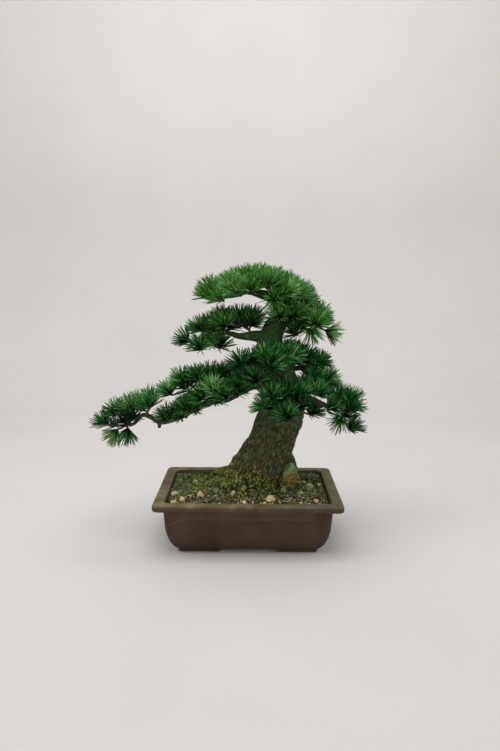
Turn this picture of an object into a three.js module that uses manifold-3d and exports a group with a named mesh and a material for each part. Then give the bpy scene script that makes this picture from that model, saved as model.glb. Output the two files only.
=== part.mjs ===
// A pine bonsai in an oblong stoneware pot.
//
// The leaning trunk stands in a filled pot. Its limbs carry flat pads of foliage, and each pad is
// made of sprays: a forked twig whose shoots each end in a tuft of stiff needles. Moss climbs the
// foot of the trunk, and a rock and pebbles lie on the gritty soil.
//
// Millimetres, +Z up, +X to the right and +Y away from someone who faces the pot's long side.
// Every place below is measured from the middle of the pot at the level of its feet.

import * as THREE from 'three';
import { mergeVertices } from 'three/addons/utils/BufferGeometryUtils.js';
import Module from 'manifold-3d';

const wasm = await Module();
wasm.setup();

// ---------------------------------------------------------------- driving sizes

const POT_LENGTH = 340;
const POT_DEPTH = 240;
const POT_HEIGHT = 101;
const FOOT_HEIGHT = 8;
const LIP_HEIGHT = 11.5;
const RIM_WIDTH = 20;
const FLOOR_THICKNESS = 8;

const SOIL_LEVEL = 92;
const SOIL_DOME = 5;
const MOSS_EDGE = 4;
const MOSS_CLIMB = 52;

const NEEDLE_LENGTH = 36;
const NEEDLE_RADIUS = 1.25;
const TWIG_RADIUS = 2.1;

const GAP = 0.35;
const SEED = 20240;

// ---------------------------------------------------------------- small tools

const V = (x, y, z) => new THREE.Vector3(x, y, z);

// A seeded draw between 0 and 1, the same on every run.
function randomFrom(seed) {
  let state = seed >>> 0;
  return () => {
    state = (Math.imul(state, 1664525) + 1013904223) >>> 0;
    return state / 4294967296;
  };
}

function geometryFrom(points, triangles) {
  const geometry = new THREE.BufferGeometry();
  const numbers = points.flatMap((p) => [p.x, p.y, p.z]);
  geometry.setAttribute('position', new THREE.Float32BufferAttribute(numbers, 3));
  geometry.setIndex(triangles.flat());
  return geometry;
}

function solidFrom(geometry) {
  const bare = geometry.clone();
  bare.deleteAttribute('normal');
  bare.deleteAttribute('uv');
  const merged = mergeVertices(bare, 1e-4);
  return new wasm.Manifold(new wasm.Mesh({
    numProp: 3,
    vertProperties: new Float32Array(merged.attributes.position.array),
    triVerts: new Uint32Array(merged.index.array),
  }));
}

function geometryOf(solid) {
  const mesh = solid.getMesh();
  const geometry = new THREE.BufferGeometry();
  const positions = [];
  for (let i = 0; i < mesh.numVert; i += 1) {
    positions.push(...mesh.vertProperties.slice(i * mesh.numProp, i * mesh.numProp + 3));
  }
  geometry.setAttribute('position', new THREE.Float32BufferAttribute(positions, 3));
  geometry.setIndex(new THREE.Uint32BufferAttribute(mesh.triVerts, 1));
  return mergeVertices(geometry, 1e-3);
}

function join(solids) {
  return solids.reduce((sum, next) => sum.add(next));
}

// A cut can leave loose crumbs, so only the largest piece is kept.
function largestOf(solid) {
  const pieces = solid.decompose();
  return pieces.reduce((best, piece) => (piece.volume() > best.volume() ? piece : best));
}

// A closed solid through a stack of rings with equal numbers of points, listed anticlockwise.
function stackRings(rings) {
  const count = rings[0].length;
  const points = rings.flat();
  const triangles = [];
  for (let level = 0; level < rings.length - 1; level += 1) {
    for (let i = 0; i < count; i += 1) {
      const next = (i + 1) % count;
      const a = level * count + i;
      const b = level * count + next;
      triangles.push([a, b, b + count], [a, b + count, a + count]);
    }
  }
  const middleOf = (ring) => ring.reduce((sum, p) => sum.add(p), V(0, 0, 0)).divideScalar(count);
  const bottom = points.push(middleOf(rings[0])) - 1;
  const top = points.push(middleOf(rings.at(-1))) - 1;
  const last = (rings.length - 1) * count;
  for (let i = 0; i < count; i += 1) {
    const next = (i + 1) % count;
    triangles.push([bottom, next, i], [top, last + i, last + next]);
  }
  return geometryFrom(points, triangles);
}

function boxAround(x, y, z, width, depth, height) {
  const box = new THREE.BoxGeometry(width, depth, height);
  box.translate(x, y, z);
  return solidFrom(box);
}

// ---------------------------------------------------------------- pot

const CORNER_STEPS = 3;
const CORNER_OFFSET = (POT_LENGTH - POT_DEPTH) / 2;

// A ring of the pot's oblong plan: half its length, the height and the corner's radius.
function potRing(halfLength, z, cornerRadius) {
  const halfDepth = halfLength - CORNER_OFFSET;
  const ring = [];
  for (let corner = 0; corner < 4; corner += 1) {
    const sideX = corner === 0 || corner === 3 ? 1 : -1;
    const sideY = corner < 2 ? 1 : -1;
    for (let step = 0; step <= CORNER_STEPS; step += 1) {
      const angle = (corner + step / CORNER_STEPS) * (Math.PI / 2);
      ring.push(V(
        sideX * (halfLength - cornerRadius) + cornerRadius * Math.cos(angle),
        sideY * (halfDepth - cornerRadius) + cornerRadius * Math.sin(angle),
        z,
      ));
    }
  }
  return ring;
}

const RIM_HALF = POT_LENGTH / 2;
const INNER_HALF = RIM_HALF - RIM_WIDTH;
const LIP_UNDERSIDE = POT_HEIGHT - LIP_HEIGHT;
const WALL_BEND = 52;
const RIM_CORNER = 10;
const BODY_CORNER = 17;

// Half the pot's length at the wall's bend, inside and outside, and how far it draws in below.
const HOLLOW_BEND_HALF = 144;
const HOLLOW_ROUND = 21;
const HOLLOW_FLOOR = FOOT_HEIGHT + FLOOR_THICKNESS;
const OUTER_BEND_HALF = 151;
const OUTER_ROUND = 21;

// The lower wall draws in a little sooner than an ellipse does.
const ROUND_POWER = 1.25;

function roundedFoot(bendHalf, round, floor, steps) {
  const levels = [];
  for (let step = steps; step >= 0; step -= 1) {
    const angle = (step / steps) * (Math.PI / 2);
    levels.push([
      bendHalf - round + round * Math.cos(angle) ** ROUND_POWER,
      WALL_BEND - (WALL_BEND - floor) * Math.sin(angle) ** ROUND_POWER,
    ]);
  }
  return levels;
}

// The corners tighten as the wall draws in.
function bodyCorner(half) {
  return BODY_CORNER - (OUTER_BEND_HALF - half) / 2;
}

function potBody() {
  const outside = roundedFoot(OUTER_BEND_HALF, OUTER_ROUND, FOOT_HEIGHT, 4)
    .map(([half, z]) => potRing(half, z, bodyCorner(half)));
  const lip = [
    potRing(RIM_HALF - 16.5, LIP_UNDERSIDE - 5, BODY_CORNER),
    potRing(RIM_HALF - 13.5, LIP_UNDERSIDE, BODY_CORNER),
    potRing(RIM_HALF - 1.5, LIP_UNDERSIDE, RIM_CORNER),
    potRing(RIM_HALF, LIP_UNDERSIDE + 2, RIM_CORNER),
    potRing(RIM_HALF, POT_HEIGHT - 2, RIM_CORNER),
    potRing(RIM_HALF - 2, POT_HEIGHT, RIM_CORNER),
    potRing(INNER_HALF + 1.5, POT_HEIGHT, RIM_CORNER),
    potRing(INNER_HALF, POT_HEIGHT - 1.5, RIM_CORNER),
  ];
  const inside = roundedFoot(HOLLOW_BEND_HALF, HOLLOW_ROUND, HOLLOW_FLOOR, 3)
    .reverse()
    .map(([half, z]) => potRing(half, z, BODY_CORNER - 5));
  return stackRings([...outside, ...lip, ...inside]);
}

// An L-shaped foot with a rounded outer corner, just inside the body's bottom edge. The ends of
// its two legs flare upwards.
const FOOT_CORNER_X = 128;
const FOOT_CORNER_Y = FOOT_CORNER_X - CORNER_OFFSET;
const FOOT_LONG_LEG = 76;
const FOOT_SHORT_LEG = 44;
const FOOT_WIDTH = 17;
const FOOT_FLARE = 10;
const FOOT_CORNER_RADIUS = 7;
const FOOT_CORNER_STEPS = 3;
const FOOT_SINK = 3;

function footOutline(flare) {
  const longEnd = FOOT_CORNER_X - FOOT_LONG_LEG - flare;
  const shortEnd = FOOT_CORNER_Y - FOOT_SHORT_LEG - flare;
  const corner = [];
  for (let step = 0; step <= FOOT_CORNER_STEPS; step += 1) {
    const angle = (step / FOOT_CORNER_STEPS) * (Math.PI / 2);
    corner.push([
      FOOT_CORNER_X - FOOT_CORNER_RADIUS * (1 - Math.cos(angle)),
      FOOT_CORNER_Y - FOOT_CORNER_RADIUS * (1 - Math.sin(angle)),
    ]);
  }
  return [
    ...corner,
    [longEnd, FOOT_CORNER_Y],
    [longEnd, FOOT_CORNER_Y - FOOT_WIDTH],
    [FOOT_CORNER_X - FOOT_WIDTH, FOOT_CORNER_Y - FOOT_WIDTH],
    [FOOT_CORNER_X - FOOT_WIDTH, shortEnd],
    [FOOT_CORNER_X, shortEnd],
  ];
}

function potFoot(sideX, sideY) {
  const levels = [[0, 0], [FOOT_HEIGHT + FOOT_SINK, FOOT_FLARE]];
  const rings = levels.map(([z, flare]) => footOutline(flare).map(([x, y]) => V(sideX * x, sideY * y, z)));
  const count = rings[0].length;
  const points = rings.flat();
  const plan = footOutline(0).map(([x, y]) => new THREE.Vector2(x, y));
  const faces = THREE.ShapeUtils.triangulateShape(plan, []);
  const triangles = [];
  for (const [a, b, c] of faces) {
    triangles.push([a, c, b], [a + count, b + count, c + count]);
  }
  for (let i = 0; i < count; i += 1) {
    const next = (i + 1) % count;
    triangles.push([i, next, next + count], [i, next + count, i + count]);
  }
  const mirrored = sideX * sideY < 0;
  return geometryFrom(points, mirrored ? triangles.map(([a, b, c]) => [a, c, b]) : triangles);
}

const DRAIN_RADIUS = 11;
const DRAIN_X = 72;

function drainCutter(x) {
  const cutter = new THREE.CylinderGeometry(DRAIN_RADIUS, DRAIN_RADIUS, 4 * FLOOR_THICKNESS, 16);
  cutter.rotateX(Math.PI / 2);
  cutter.translate(x, 0, HOLLOW_FLOOR);
  return solidFrom(cutter);
}

function makePot() {
  const feet = [];
  for (const sideX of [-1, 1]) {
    for (const sideY of [-1, 1]) {
      feet.push(solidFrom(potFoot(sideX, sideY)));
    }
  }
  const body = join([solidFrom(potBody()), ...feet]);
  return body.subtract(drainCutter(-DRAIN_X)).subtract(drainCutter(DRAIN_X));
}

// A square of coarse netting over a drain hole.
const SCREEN_SIZE = 38;
const SCREEN_THICKNESS = 1.2;
const SCREEN_CELLS = 2;
const SCREEN_HOLE = 11;

function makeScreen() {
  const pitch = SCREEN_SIZE / (SCREEN_CELLS + 0.5);
  const middle = (SCREEN_CELLS - 1) / 2;
  let screen = boxAround(0, 0, 0, SCREEN_SIZE, SCREEN_SIZE, SCREEN_THICKNESS);
  for (let row = 0; row < SCREEN_CELLS; row += 1) {
    for (let column = 0; column < SCREEN_CELLS; column += 1) {
      const [x, y] = [(column - middle) * pitch, (row - middle) * pitch];
      screen = screen.subtract(boxAround(x, y, 0, SCREEN_HOLE, SCREEN_HOLE, 2 * SCREEN_THICKNESS));
    }
  }
  return screen;
}

// ---------------------------------------------------------------- wood

// A tube along a smooth curve whose radius follows the list, with bark relief and root lobes.
function taperedTube(places, radii, { sides = 7, steps = 8, ridge = 0, lobes = 0, grow = 0 } = {}) {
  const curve = new THREE.CatmullRomCurve3(places.map(([x, y, z]) => V(x, y, z)));
  const frames = curve.computeFrenetFrames(steps, false);
  const rings = [];
  for (let step = 0; step <= steps; step += 1) {
    const along = step / steps;
    const centre = curve.getPoint(along);
    const tangent = curve.getTangent(along);
    const side = V(1, 0, 0).addScaledVector(tangent, -tangent.x);
    if (side.length() < 0.4) {
      side.copy(frames.normals[step]);
    }
    side.normalize();
    const other = tangent.clone().cross(side);
    const place = along * (radii.length - 1);
    const low = Math.min(Math.floor(place), radii.length - 2);
    const radius = radii[low] + (radii[low + 1] - radii[low]) * (place - low);
    const ring = [];
    for (let i = 0; i < sides; i += 1) {
      const angle = (i / sides) * 2 * Math.PI;
      const relief = ridge * (Math.sin(3 * angle + step * 1.7) + 0.7 * Math.sin(5 * angle - step * 2.3));
      const rootLobe = lobes * Math.max(0, 1 - along * 4.5) * Math.cos(5 * angle + 0.6);
      const reach = radius * (1 + relief + rootLobe) + grow;
      ring.push(centre.clone()
        .addScaledVector(side, reach * Math.cos(angle))
        .addScaledVector(other, reach * Math.sin(angle)));
    }
    rings.push(ring);
  }
  return stackRings(rings);
}

// The trunk's middle line from the root crown in the soil to the apex, with its radius.
const TRUNK = [
  [4, 8, 53], [5, 8, 92], [9, 8, 116], [26, 8, 151], [39, 8, 180], [50, 8, 205], [60, 6, 233], [65, 2, 262],
  [61, -2, 289], [53, -4, 316], [43, -4, 343], [38, -3, 365], [41, 0, 389], [52, 3, 417], [55, 5, 439],
  [51, 5, 461], [42, 4, 480], [34, 3, 491],
];
const TRUNK_RADII = [40, 50, 49, 46, 44.5, 44, 43, 41.5, 39, 35, 30, 26.5, 22.5, 18.5, 15, 10.5, 6.5, 3];

// Each limb's middle line from inside the trunk outwards, and its radius at the two ends.
const LIMBS = {
  left: {
    path: [[28, -2, 297], [8, -8, 299], [-15, -12, 289], [-43, -14, 274], [-67, -12, 269], [-102, -8, 253],
      [-135, -4, 235], [-169, 0, 226], [-188, 2, 235], [-202, 4, 238], [-220, 4, 221], [-229, 4, 218]],
    radii: [9.5, 3],
  },
  leftTop: {
    path: [[-15, -12, 289], [-43, 2, 288], [-78, 10, 286], [-113, 12, 280], [-140, 10, 266]],
    radii: [5, 2.6],
  },
  leftBack: { path: [[25, 6, 299], [-6, 26, 296], [-45, 38, 285], [-84, 40, 277]], radii: [6, 2.4] },
  right: {
    path: [[81, 0, 293], [96, -3, 284], [119, -8, 273], [143, -10, 262], [160, -9, 254], [170, -8, 249]],
    radii: [8, 3],
  },
  rightTop: { path: [[84, 6, 296], [113, 12, 297], [140, 18, 290], [168, 20, 270]], radii: [6, 2.6] },
  midRight: { path: [[62, 6, 320], [82, 14, 327], [105, 20, 328], [132, 22, 330]], radii: [6.5, 2.6] },
  midLeft: {
    path: [[35, 0, 387], [13, -3, 391], [-17, -5, 391], [-43, -2, 396], [-77, 2, 390], [-94, 2, 385]],
    radii: [13, 11, 6, 3.4, 2.8, 2.4],
  },
  midLeftBack: { path: [[-17, -5, 391], [-36, 12, 395], [-60, 26, 392], [-83, 32, 387]], radii: [5, 2.4] },
  upperRight: { path: [[54, 4, 413], [74, 4, 415], [98, 2, 421], [119, 0, 416]], radii: [7, 2.8] },
  upperRightBack: { path: [[74, 4, 415], [90, 20, 407], [112, 28, 402]], radii: [4.5, 2.4] },
  crownLeft: {
    path: [[49, 5, 456], [23, 4, 465], [-3, 2, 472], [-27, 0, 465], [-51, -3, 461]],
    radii: [7, 2.4],
  },
  crownRight: { path: [[53, 5, 450], [70, 4, 457], [84, 2, 455]], radii: [6, 2.6] },
  crownFront: { path: [[51, 5, 452], [41, -18, 459], [30, -34, 463]], radii: [6, 2.6] },
  crownBack: { path: [[51, 5, 458], [35, 24, 470], [12, 38, 475]], radii: [6, 2.6] },
  frontLow: { path: [[61, 2, 265], [63, -35, 265], [64, -55, 263], [64, -66, 262]], radii: [9, 3] },
  frontMid: { path: [[53, -4, 312], [35, -32, 317], [18, -52, 320]], radii: [8, 2.8] },
  frontMidUp: { path: [[41, -4, 343], [42, -28, 346], [49, -40, 349]], radii: [6.5, 2.6] },
  back: { path: [[49, -4, 331], [52, 40, 325], [57, 70, 321]], radii: [8, 3] },
};

// Two surface roots: one runs left under the moss, the other drops steeply behind the rock.
const ROOTS = [
  { path: [[-4, 10, 124], [-30, 20, 119], [-60, 30, 110], [-86, 36, 92]], radii: [20, 7] },
  { path: [[48, 22, 169], [72, 40, 143], [86, 52, 117], [92, 60, 85]], radii: [22, 9] },
];

const TRUNK_SIDES = 12;
const TRUNK_STEPS = 19;
const LIMB_STEP = 35;
const THICK_LIMB = 8;

function limbLength(path) {
  return new THREE.CatmullRomCurve3(path.map(([x, y, z]) => V(x, y, z))).getLength();
}

function makeWood(grow) {
  const pieces = [taperedTube(TRUNK, TRUNK_RADII, {
    sides: TRUNK_SIDES, steps: TRUNK_STEPS, ridge: 0.035, lobes: 0.12, grow,
  })];
  for (const limb of Object.values(LIMBS)) {
    const steps = Math.max(3, Math.round(limbLength(limb.path) / LIMB_STEP));
    const sides = limb.radii[0] > THICK_LIMB ? 6 : 5;
    pieces.push(taperedTube(limb.path, limb.radii, { sides, steps, grow }));
  }
  for (const root of ROOTS) {
    pieces.push(taperedTube(root.path, root.radii, { sides: 7, steps: 4, ridge: 0.05, grow }));
  }
  return join(pieces.map(solidFrom));
}

// ---------------------------------------------------------------- soil, moss, rock and pebbles

function soilHeight(x, y) {
  const dome = SOIL_DOME * Math.exp(-((x - 10) ** 2 / 9000 + y ** 2 / 5200));
  return SOIL_LEVEL + dome + 0.7 * Math.sin(x / 13 + 1) * Math.cos(y / 11);
}

function soilBlock(raise) {
  const levels = roundedFoot(HOLLOW_BEND_HALF, HOLLOW_ROUND, HOLLOW_FLOOR, 3);
  const rings = levels.map(([half, z]) => potRing(half - GAP, z + GAP, BODY_CORNER - 5));
  const edgeHalf = HOLLOW_BEND_HALF + (INNER_HALF - HOLLOW_BEND_HALF) * 0.8 - GAP;
  const edge = potRing(edgeHalf, 0, RIM_CORNER);
  for (const scale of [1, 0.72, 0.4]) {
    rings.push(edge.map((p) => V(p.x * scale, p.y * scale, soilHeight(p.x * scale, p.y * scale) + raise)));
  }
  return solidFrom(stackRings(rings));
}

function makeSoil(woodHole) {
  const recess = SCREEN_SIZE + 2 * GAP;
  let soil = soilBlock(0).subtract(woodHole);
  for (const x of [-DRAIN_X, DRAIN_X]) {
    soil = soil.subtract(boxAround(x, 0, HOLLOW_FLOOR, recess, recess, 2 * (SCREEN_THICKNESS + 2 * GAP)));
  }
  return largestOf(soil);
}

// The moss spreads from this centre to this outline. Its top climbs towards the trunk's foot and
// humps over the left root.
const MOSS_CENTRE = [-8, 12];
const MOSS_OUTLINE = [
  [106, 20], [100, 44], [84, 64], [52, 76], [10, 80], [-30, 80], [-66, 82], [-98, 76], [-120, 52], [-124, 18],
  [-118, -16], [-104, -40], [-76, -38], [-46, -32], [-22, -52], [-2, -60], [24, -44], [44, -20], [64, -4], [88, 8],
];
const MOSS_FOOT = { place: [6, 8], radius: 36, fade: 16 };
const ROOT_HUMP = { place: [-52, 34], height: 14, spread: 700 };

function mossTop(x, y, scale) {
  const foot = Math.max(0, Math.hypot(x - MOSS_FOOT.place[0], y - MOSS_FOOT.place[1]) - MOSS_FOOT.radius);
  const climb = MOSS_CLIMB * Math.exp(-foot / MOSS_FOOT.fade) * (1 - scale ** 8);
  const fromHump = (x - ROOT_HUMP.place[0]) ** 2 + (y - ROOT_HUMP.place[1]) ** 2;
  const hump = ROOT_HUMP.height * Math.exp(-fromHump / ROOT_HUMP.spread);
  const lumps = 1.6 * Math.sin(x / 6.5) * Math.sin(y / 7.5 + 1);
  return soilHeight(x, y) + MOSS_EDGE + climb + hump + lumps;
}

function makeMoss(woodHole, stoneHoles) {
  const outline = (scale, height) => MOSS_OUTLINE.map(([edgeX, edgeY]) => {
    const x = MOSS_CENTRE[0] + (edgeX - MOSS_CENTRE[0]) * scale;
    const y = MOSS_CENTRE[1] + (edgeY - MOSS_CENTRE[1]) * scale;
    return V(x, y, height(x, y, scale));
  });
  const rings = [
    outline(1, () => SOIL_LEVEL - 6),
    outline(1, (x, y, scale) => mossTop(x, y, scale) - MOSS_EDGE / 2),
    ...[0.95, 0.78, 0.56].map((scale) => outline(scale, mossTop)),
  ];
  let moss = solidFrom(stackRings(rings)).subtract(soilBlock(GAP)).subtract(woodHole);
  for (const hole of stoneHoles) {
    moss = moss.subtract(hole);
  }
  return largestOf(moss);
}

// A stone is a squashed ball with seeded dents: its middle, its three full sizes and its turn.
function stoneShape(place, size, turn, sphere, seed, grow) {
  const random = randomFrom(seed);
  const ball = mergeVertices(sphere.clone().deleteAttribute('normal').deleteAttribute('uv'));
  const position = ball.attributes.position;
  for (let i = 0; i < position.count; i += 1) {
    const dent = 0.88 + 0.2 * random();
    position.setXYZ(
      i,
      position.getX(i) * (dent * size[0] / 2 + grow),
      position.getY(i) * (dent * size[1] / 2 + grow),
      position.getZ(i) * (dent * size[2] / 2 + grow),
    );
  }
  ball.rotateZ(turn);
  ball.translate(place[0], place[1], place[2]);
  return solidFrom(ball);
}

const ROCK = { place: [79, 2], size: [41, 34, 55], turn: 0.3, sink: 5 };

// Pebbles that show at the front and the sides: place, length, width, height and finish.
const PEBBLES = [
  { place: [41, -64], size: [22, 15, 13], finish: 'cream' },
  { place: [-89, -41], size: [15, 12, 13], finish: 'cream' },
  { place: [-122, -60], size: [15, 11, 9], finish: 'cream' },
  { place: [-138, -33], size: [15, 12, 10], finish: 'palegreen' },
  { place: [-136, -75], size: [12, 9, 7], finish: 'cream' },
  { place: [-28, -40], size: [12, 11, 12], finish: 'palegreen' },
  { place: [-7, -79], size: [13, 9, 8], finish: 'cream' },
  { place: [9, -46], size: [19, 13, 10], finish: 'slate' },
  { place: [-61, -24], size: [15, 14, 15], finish: 'palegreen' },
  { place: [119, 10], size: [18, 14, 14], finish: 'green' },
  { place: [67, -19], size: [12, 11, 13], finish: 'green' },
  { place: [111, 38], size: [13, 10, 9], finish: 'green' },
  { place: [125, -64], size: [10, 8, 7], finish: 'cream' },
  { place: [79, -31], size: [12, 11, 10], finish: 'slate' },
  { place: [-106, 34], size: [12, 11, 10], finish: 'palegreen' },
  { place: [-127, 8], size: [15, 12, 11], finish: 'slate' },
];
const PEBBLE_SINK = 0.3;

const ROCK_BALL = new THREE.IcosahedronGeometry(1, 1);
const PEBBLE_BALL = new THREE.OctahedronGeometry(1, 1);

function stoneAt(stone, index, sphere, grow) {
  const [x, y] = stone.place;
  const sink = stone.sink ?? stone.size[2] * PEBBLE_SINK;
  const z = soilHeight(x, y) + stone.size[2] / 2 - sink;
  return stoneShape([x, y, z], stone.size, stone.turn ?? index * 0.7, sphere, SEED + index, grow);
}

// ---------------------------------------------------------------- foliage

// Each pad of foliage has a limb, and a hub below it that its tufts point away from. A spray is a
// list of tuft places, with its fork where that isn't simply part way to them; a tuft that grows
// another way also states its own direction.
const PADS = [
  { name: 'crown_left', limb: 'crownLeft', hub: [12, 0, 429], sprays: [
    { fork: [-53, -5, 466], tufts: [[-71, -5, 463], [-68, 12, 473], [-46, -23, 458, -0.7, -0.6, 0.3]] },
    { tufts: [[-43, -8, 476], [-46, 25, 470], [-21, 5, 487]] },
    { tufts: [[-17, -35, 466], [-28, -26, 478], [5, -42, 475]] },
    { tufts: [[1, -8, 491], [23, 8, 492], [15, -30, 482]] },
  ] },
  { name: 'crown_back', limb: 'crownBack', hub: [12, 0, 429], sprays: [
    { tufts: [[-9, 32, 488], [-34, 45, 479], [16, 48, 494]] },
    { tufts: [[45, 38, 487], [72, 36, 476], [95, 36, 459]] },
  ] },
  { name: 'crown_front', limb: 'crownFront', hub: [12, 0, 429], sprays: [
    { tufts: [[44, -48, 463, -0.1, -0.95, -0.2], [32, -40, 479], [64, -42, 468]] },
  ] },
  { name: 'crown_right', limb: 'crownRight', hub: [30, 0, 424], sprays: [
    { tufts: [[43, -10, 487], [66, 5, 480], [55, -25, 477]] },
    { tufts: [[96, -5, 456], [84, -22, 465], [90, 18, 467]] },
  ] },
  { name: 'neck', limb: 'upperRight', hub: [60, 10, 389], sprays: [
    { tufts: [[105, 8, 441], [99, -10, 426], [81, -28, 429], [48, -36, 436, -0.8, -0.5, 0], [67, -28, 445]] },
  ] },
  { name: 'upper_right', limb: 'upperRight', hub: [85, 5, 394], sprays: [
    { fork: [128, -5, 410], tufts: [
      [126, 6, 426], [141, -2, 402, 0.85, -0.25, -0.3], [120, -28, 414, 0.5, -0.8, 0]] },
    { fork: [98, -7, 400], tufts: [[86, -16, 394, -0.5, -0.6, 0.6], [107, -18, 398, 0.3, -0.7, 0.6]] },
  ] },
  { name: 'upper_right_back', limb: 'upperRightBack', hub: [85, 5, 394], sprays: [
    { tufts: [[86, 34, 413], [108, 38, 407], [129, 28, 416]] },
  ] },
  { name: 'mid_left', limb: 'midLeft', hub: [-20, 0, 359], sprays: [
    { fork: [-74, -7, 373], tufts: [
      [-111, 2, 379], [-89, -17, 366, -0.2, -0.7, 0.7], [-55, -26, 375, 0.3, -0.9, 0.3]] },
    { tufts: [[-47, 5, 416], [-43, -18, 409], [-86, -5, 400]] },
    { tufts: [[-19, -2, 417], [3, -10, 418], [-6, 20, 409]] },
  ] },
  { name: 'mid_left_back', limb: 'midLeftBack', hub: [-20, 0, 359], sprays: [
    { tufts: [[-71, 30, 403], [-41, 38, 409], [-16, 46, 405]] },
  ] },
  { name: 'front_mid', limb: 'frontMid', hub: [20, -20, 279], sprays: [
    { tufts: [[-13, -50, 340], [13, -66, 314], [-14, -45, 302]] },
  ] },
  { name: 'front_upper', limb: 'frontMidUp', hub: [20, -20, 279], sprays: [
    { tufts: [[38, -60, 340], [7, -42, 341], [30, -48, 352]] },
    { tufts: [[74, -34, 352], [56, -44, 353]] },
  ] },
  { name: 'mid_right', limb: 'midRight', hub: [70, 10, 309], sprays: [
    { tufts: [[100, 6, 345], [127, 12, 336], [80, 8, 354]] },
    { tufts: [[103, 42, 337], [72, 46, 350], [126, 38, 332]] },
  ] },
  { name: 'low_right', limb: 'right', hub: [90, 0, 234], sprays: [
    { tufts: [[103, -26, 299], [117, -2, 306], [125, -26, 284]] },
    { fork: [151, -19, 249], tufts: [[146, -27, 257], [174, -26, 241, -0.5, -0.5, -0.55]] },
    { fork: [181, -4, 241], tufts: [[189, -2, 253], [189, -6, 221], [168, 3, 268, 0.5, 0, 0.85]] },
  ] },
  { name: 'low_right_back', limb: 'rightTop', hub: [90, 0, 234], sprays: [
    { tufts: [[120, 34, 305], [145, 12, 303], [150, 42, 286], [175, 36, 263]] },
  ] },
  { name: 'front_low', limb: 'frontLow', hub: [70, -30, 224], sprays: [
    { tufts: [[66, -88, 259], [35, -66, 267, -0.9, -0.3, 0.1], [44, -72, 285, -0.3, -0.5, 0.8]] },
    { tufts: [[66, -60, 293], [103, -66, 265], [90, -52, 285, 0.2, -0.4, 0.9]] },
  ] },
  { name: 'left_tip', limb: 'left', hub: [-130, 0, 159], sprays: [
    { fork: [-240, 2, 217], tufts: [
      [-271, 4, 220, -1, 0, 0.1], [-249, -10, 214, -0.7, -0.2, -0.7], [-230, -5, 214, 0.05, -0.1, -1]] },
    { fork: [-219, 2, 238], tufts: [[-229, -14, 234], [-225, 8, 247], [-250, 12, 238]] },
    { tufts: [[-187, -6, 254], [-188, 26, 259], [-210, 22, 250]] },
  ] },
  { name: 'left', limb: 'left', hub: [-60, 0, 159], sprays: [
    { tufts: [[-146, -20, 242], [-115, -24, 260]] },
    { tufts: [[-89, -27, 280], [-66, -32, 290], [-40, -36, 289, -0.4, -0.4, 0.8], [-14, -32, 302]] },
  ] },
  { name: 'left_top', limb: 'leftTop', hub: [-60, 0, 159], sprays: [
    { tufts: [[-148, 2, 278], [-123, 4, 301], [-97, -6, 306]] },
    { tufts: [[-74, 0, 310], [-46, 10, 307]] },
  ] },
  { name: 'left_back', limb: 'leftBack', hub: [-60, 0, 159], sprays: [
    { tufts: [[-114, 34, 290], [-86, 44, 295], [-55, 50, 301], [-22, 50, 307]] },
  ] },
  { name: 'back', limb: 'back', hub: [60, 20, 299], sprays: [
    { tufts: [[30, 78, 336], [64, 88, 337], [93, 74, 331]] },
  ] },
];

const FORK_SHARE = 0.45;
const STEM_BACK = 9;
const STEM_RADIUS = 2.5;
const SHOOT_SINK = 2.5;
const CORE_SIDES = 4;
const CORE_LEVELS = [0, 2.6, 5];
const CORE_TAPER = [1, 1, 0.8];
const CORE_TIP = 6.6;

// How far each row of needles leans from the tuft's own direction, from its foot to its tip.
const NEEDLE_LEAN = [[80, 66], [52, 38], [20]];
const NEEDLE_JITTER = [0, 0, 6, 8, 10, 12, 14, 8, 12, 16, 10, 14, 10, 16];
const NEEDLE_SHORTEN = [1, 1, 1, 1, 1, 1, 1, 0.85, 0.85, 0.85, 0.7, 0.7, 0.5, 0.5];
const NEEDLE_CLEARANCE = 0.45;

function nearestOnLimb(limb, target) {
  const curve = new THREE.CatmullRomCurve3(limb.path.map(([x, y, z]) => V(x, y, z)));
  const length = curve.getLength();
  const count = Math.ceil(length / 3);
  let best = 0;
  for (let i = 1; i <= count; i += 1) {
    if (curve.getPoint(i / count).distanceTo(target) < curve.getPoint(best / count).distanceTo(target)) {
      best = i;
    }
  }
  const back = Math.max(0, best / count - STEM_BACK / length);
  return curve.getPoint(Math.min(back, 0.97));
}

// How far a point lies outside the wood, judged by the wood's own tapering segments.
function woodClearance(point) {
  let least = Infinity;
  for (const { start, end, startRadius, endRadius, owner } of obstacles) {
    if (owner === 'wood') {
      const { near, second } = segmentDistance(point, point.clone().add(V(0, 0, 0.01)), start, end);
      least = Math.min(least, near - startRadius - (endRadius - startRadius) * second);
    }
  }
  return least;
}

// The stem and the shoots of one spray, as lists of points, before any solid is made.
function planSpray(pad, { fork: givenFork, tufts }) {
  const hub = V(...pad.hub);
  const bases = tufts.map(([x, y, z]) => V(x, y, z));
  const middle = bases.reduce((sum, p) => sum.add(p), V(0, 0, 0)).divideScalar(bases.length);
  const seat = nearestOnLimb(LIMBS[pad.limb], givenFork ? V(...givenFork) : middle);
  let fork = givenFork ? V(...givenFork) : null;
  for (let share = FORK_SHARE; fork === null; share += 0.1) {
    const point = seat.clone().lerp(middle, share);
    if (share > 0.9 || woodClearance(point) > STEM_RADIUS + 1) {
      fork = point;
    }
  }
  const along = fork.clone().sub(seat).normalize();
  const start = fork.clone().addScaledVector(along, -SHOOT_SINK);
  const shoots = bases.map((base, i) => {
    const [, , , dx, dy, dz] = tufts[i];
    const direction = dx === undefined ? base.clone().sub(hub) : V(dx, dy, dz);
    return { start, base, direction: direction.normalize() };
  });
  return { stem: [seat, fork], shoots };
}

function perpendicularTo(direction) {
  const helper = Math.abs(direction.z) < 0.9 ? V(0, 0, 1) : V(1, 0, 0);
  return direction.clone().cross(helper).normalize();
}

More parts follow.
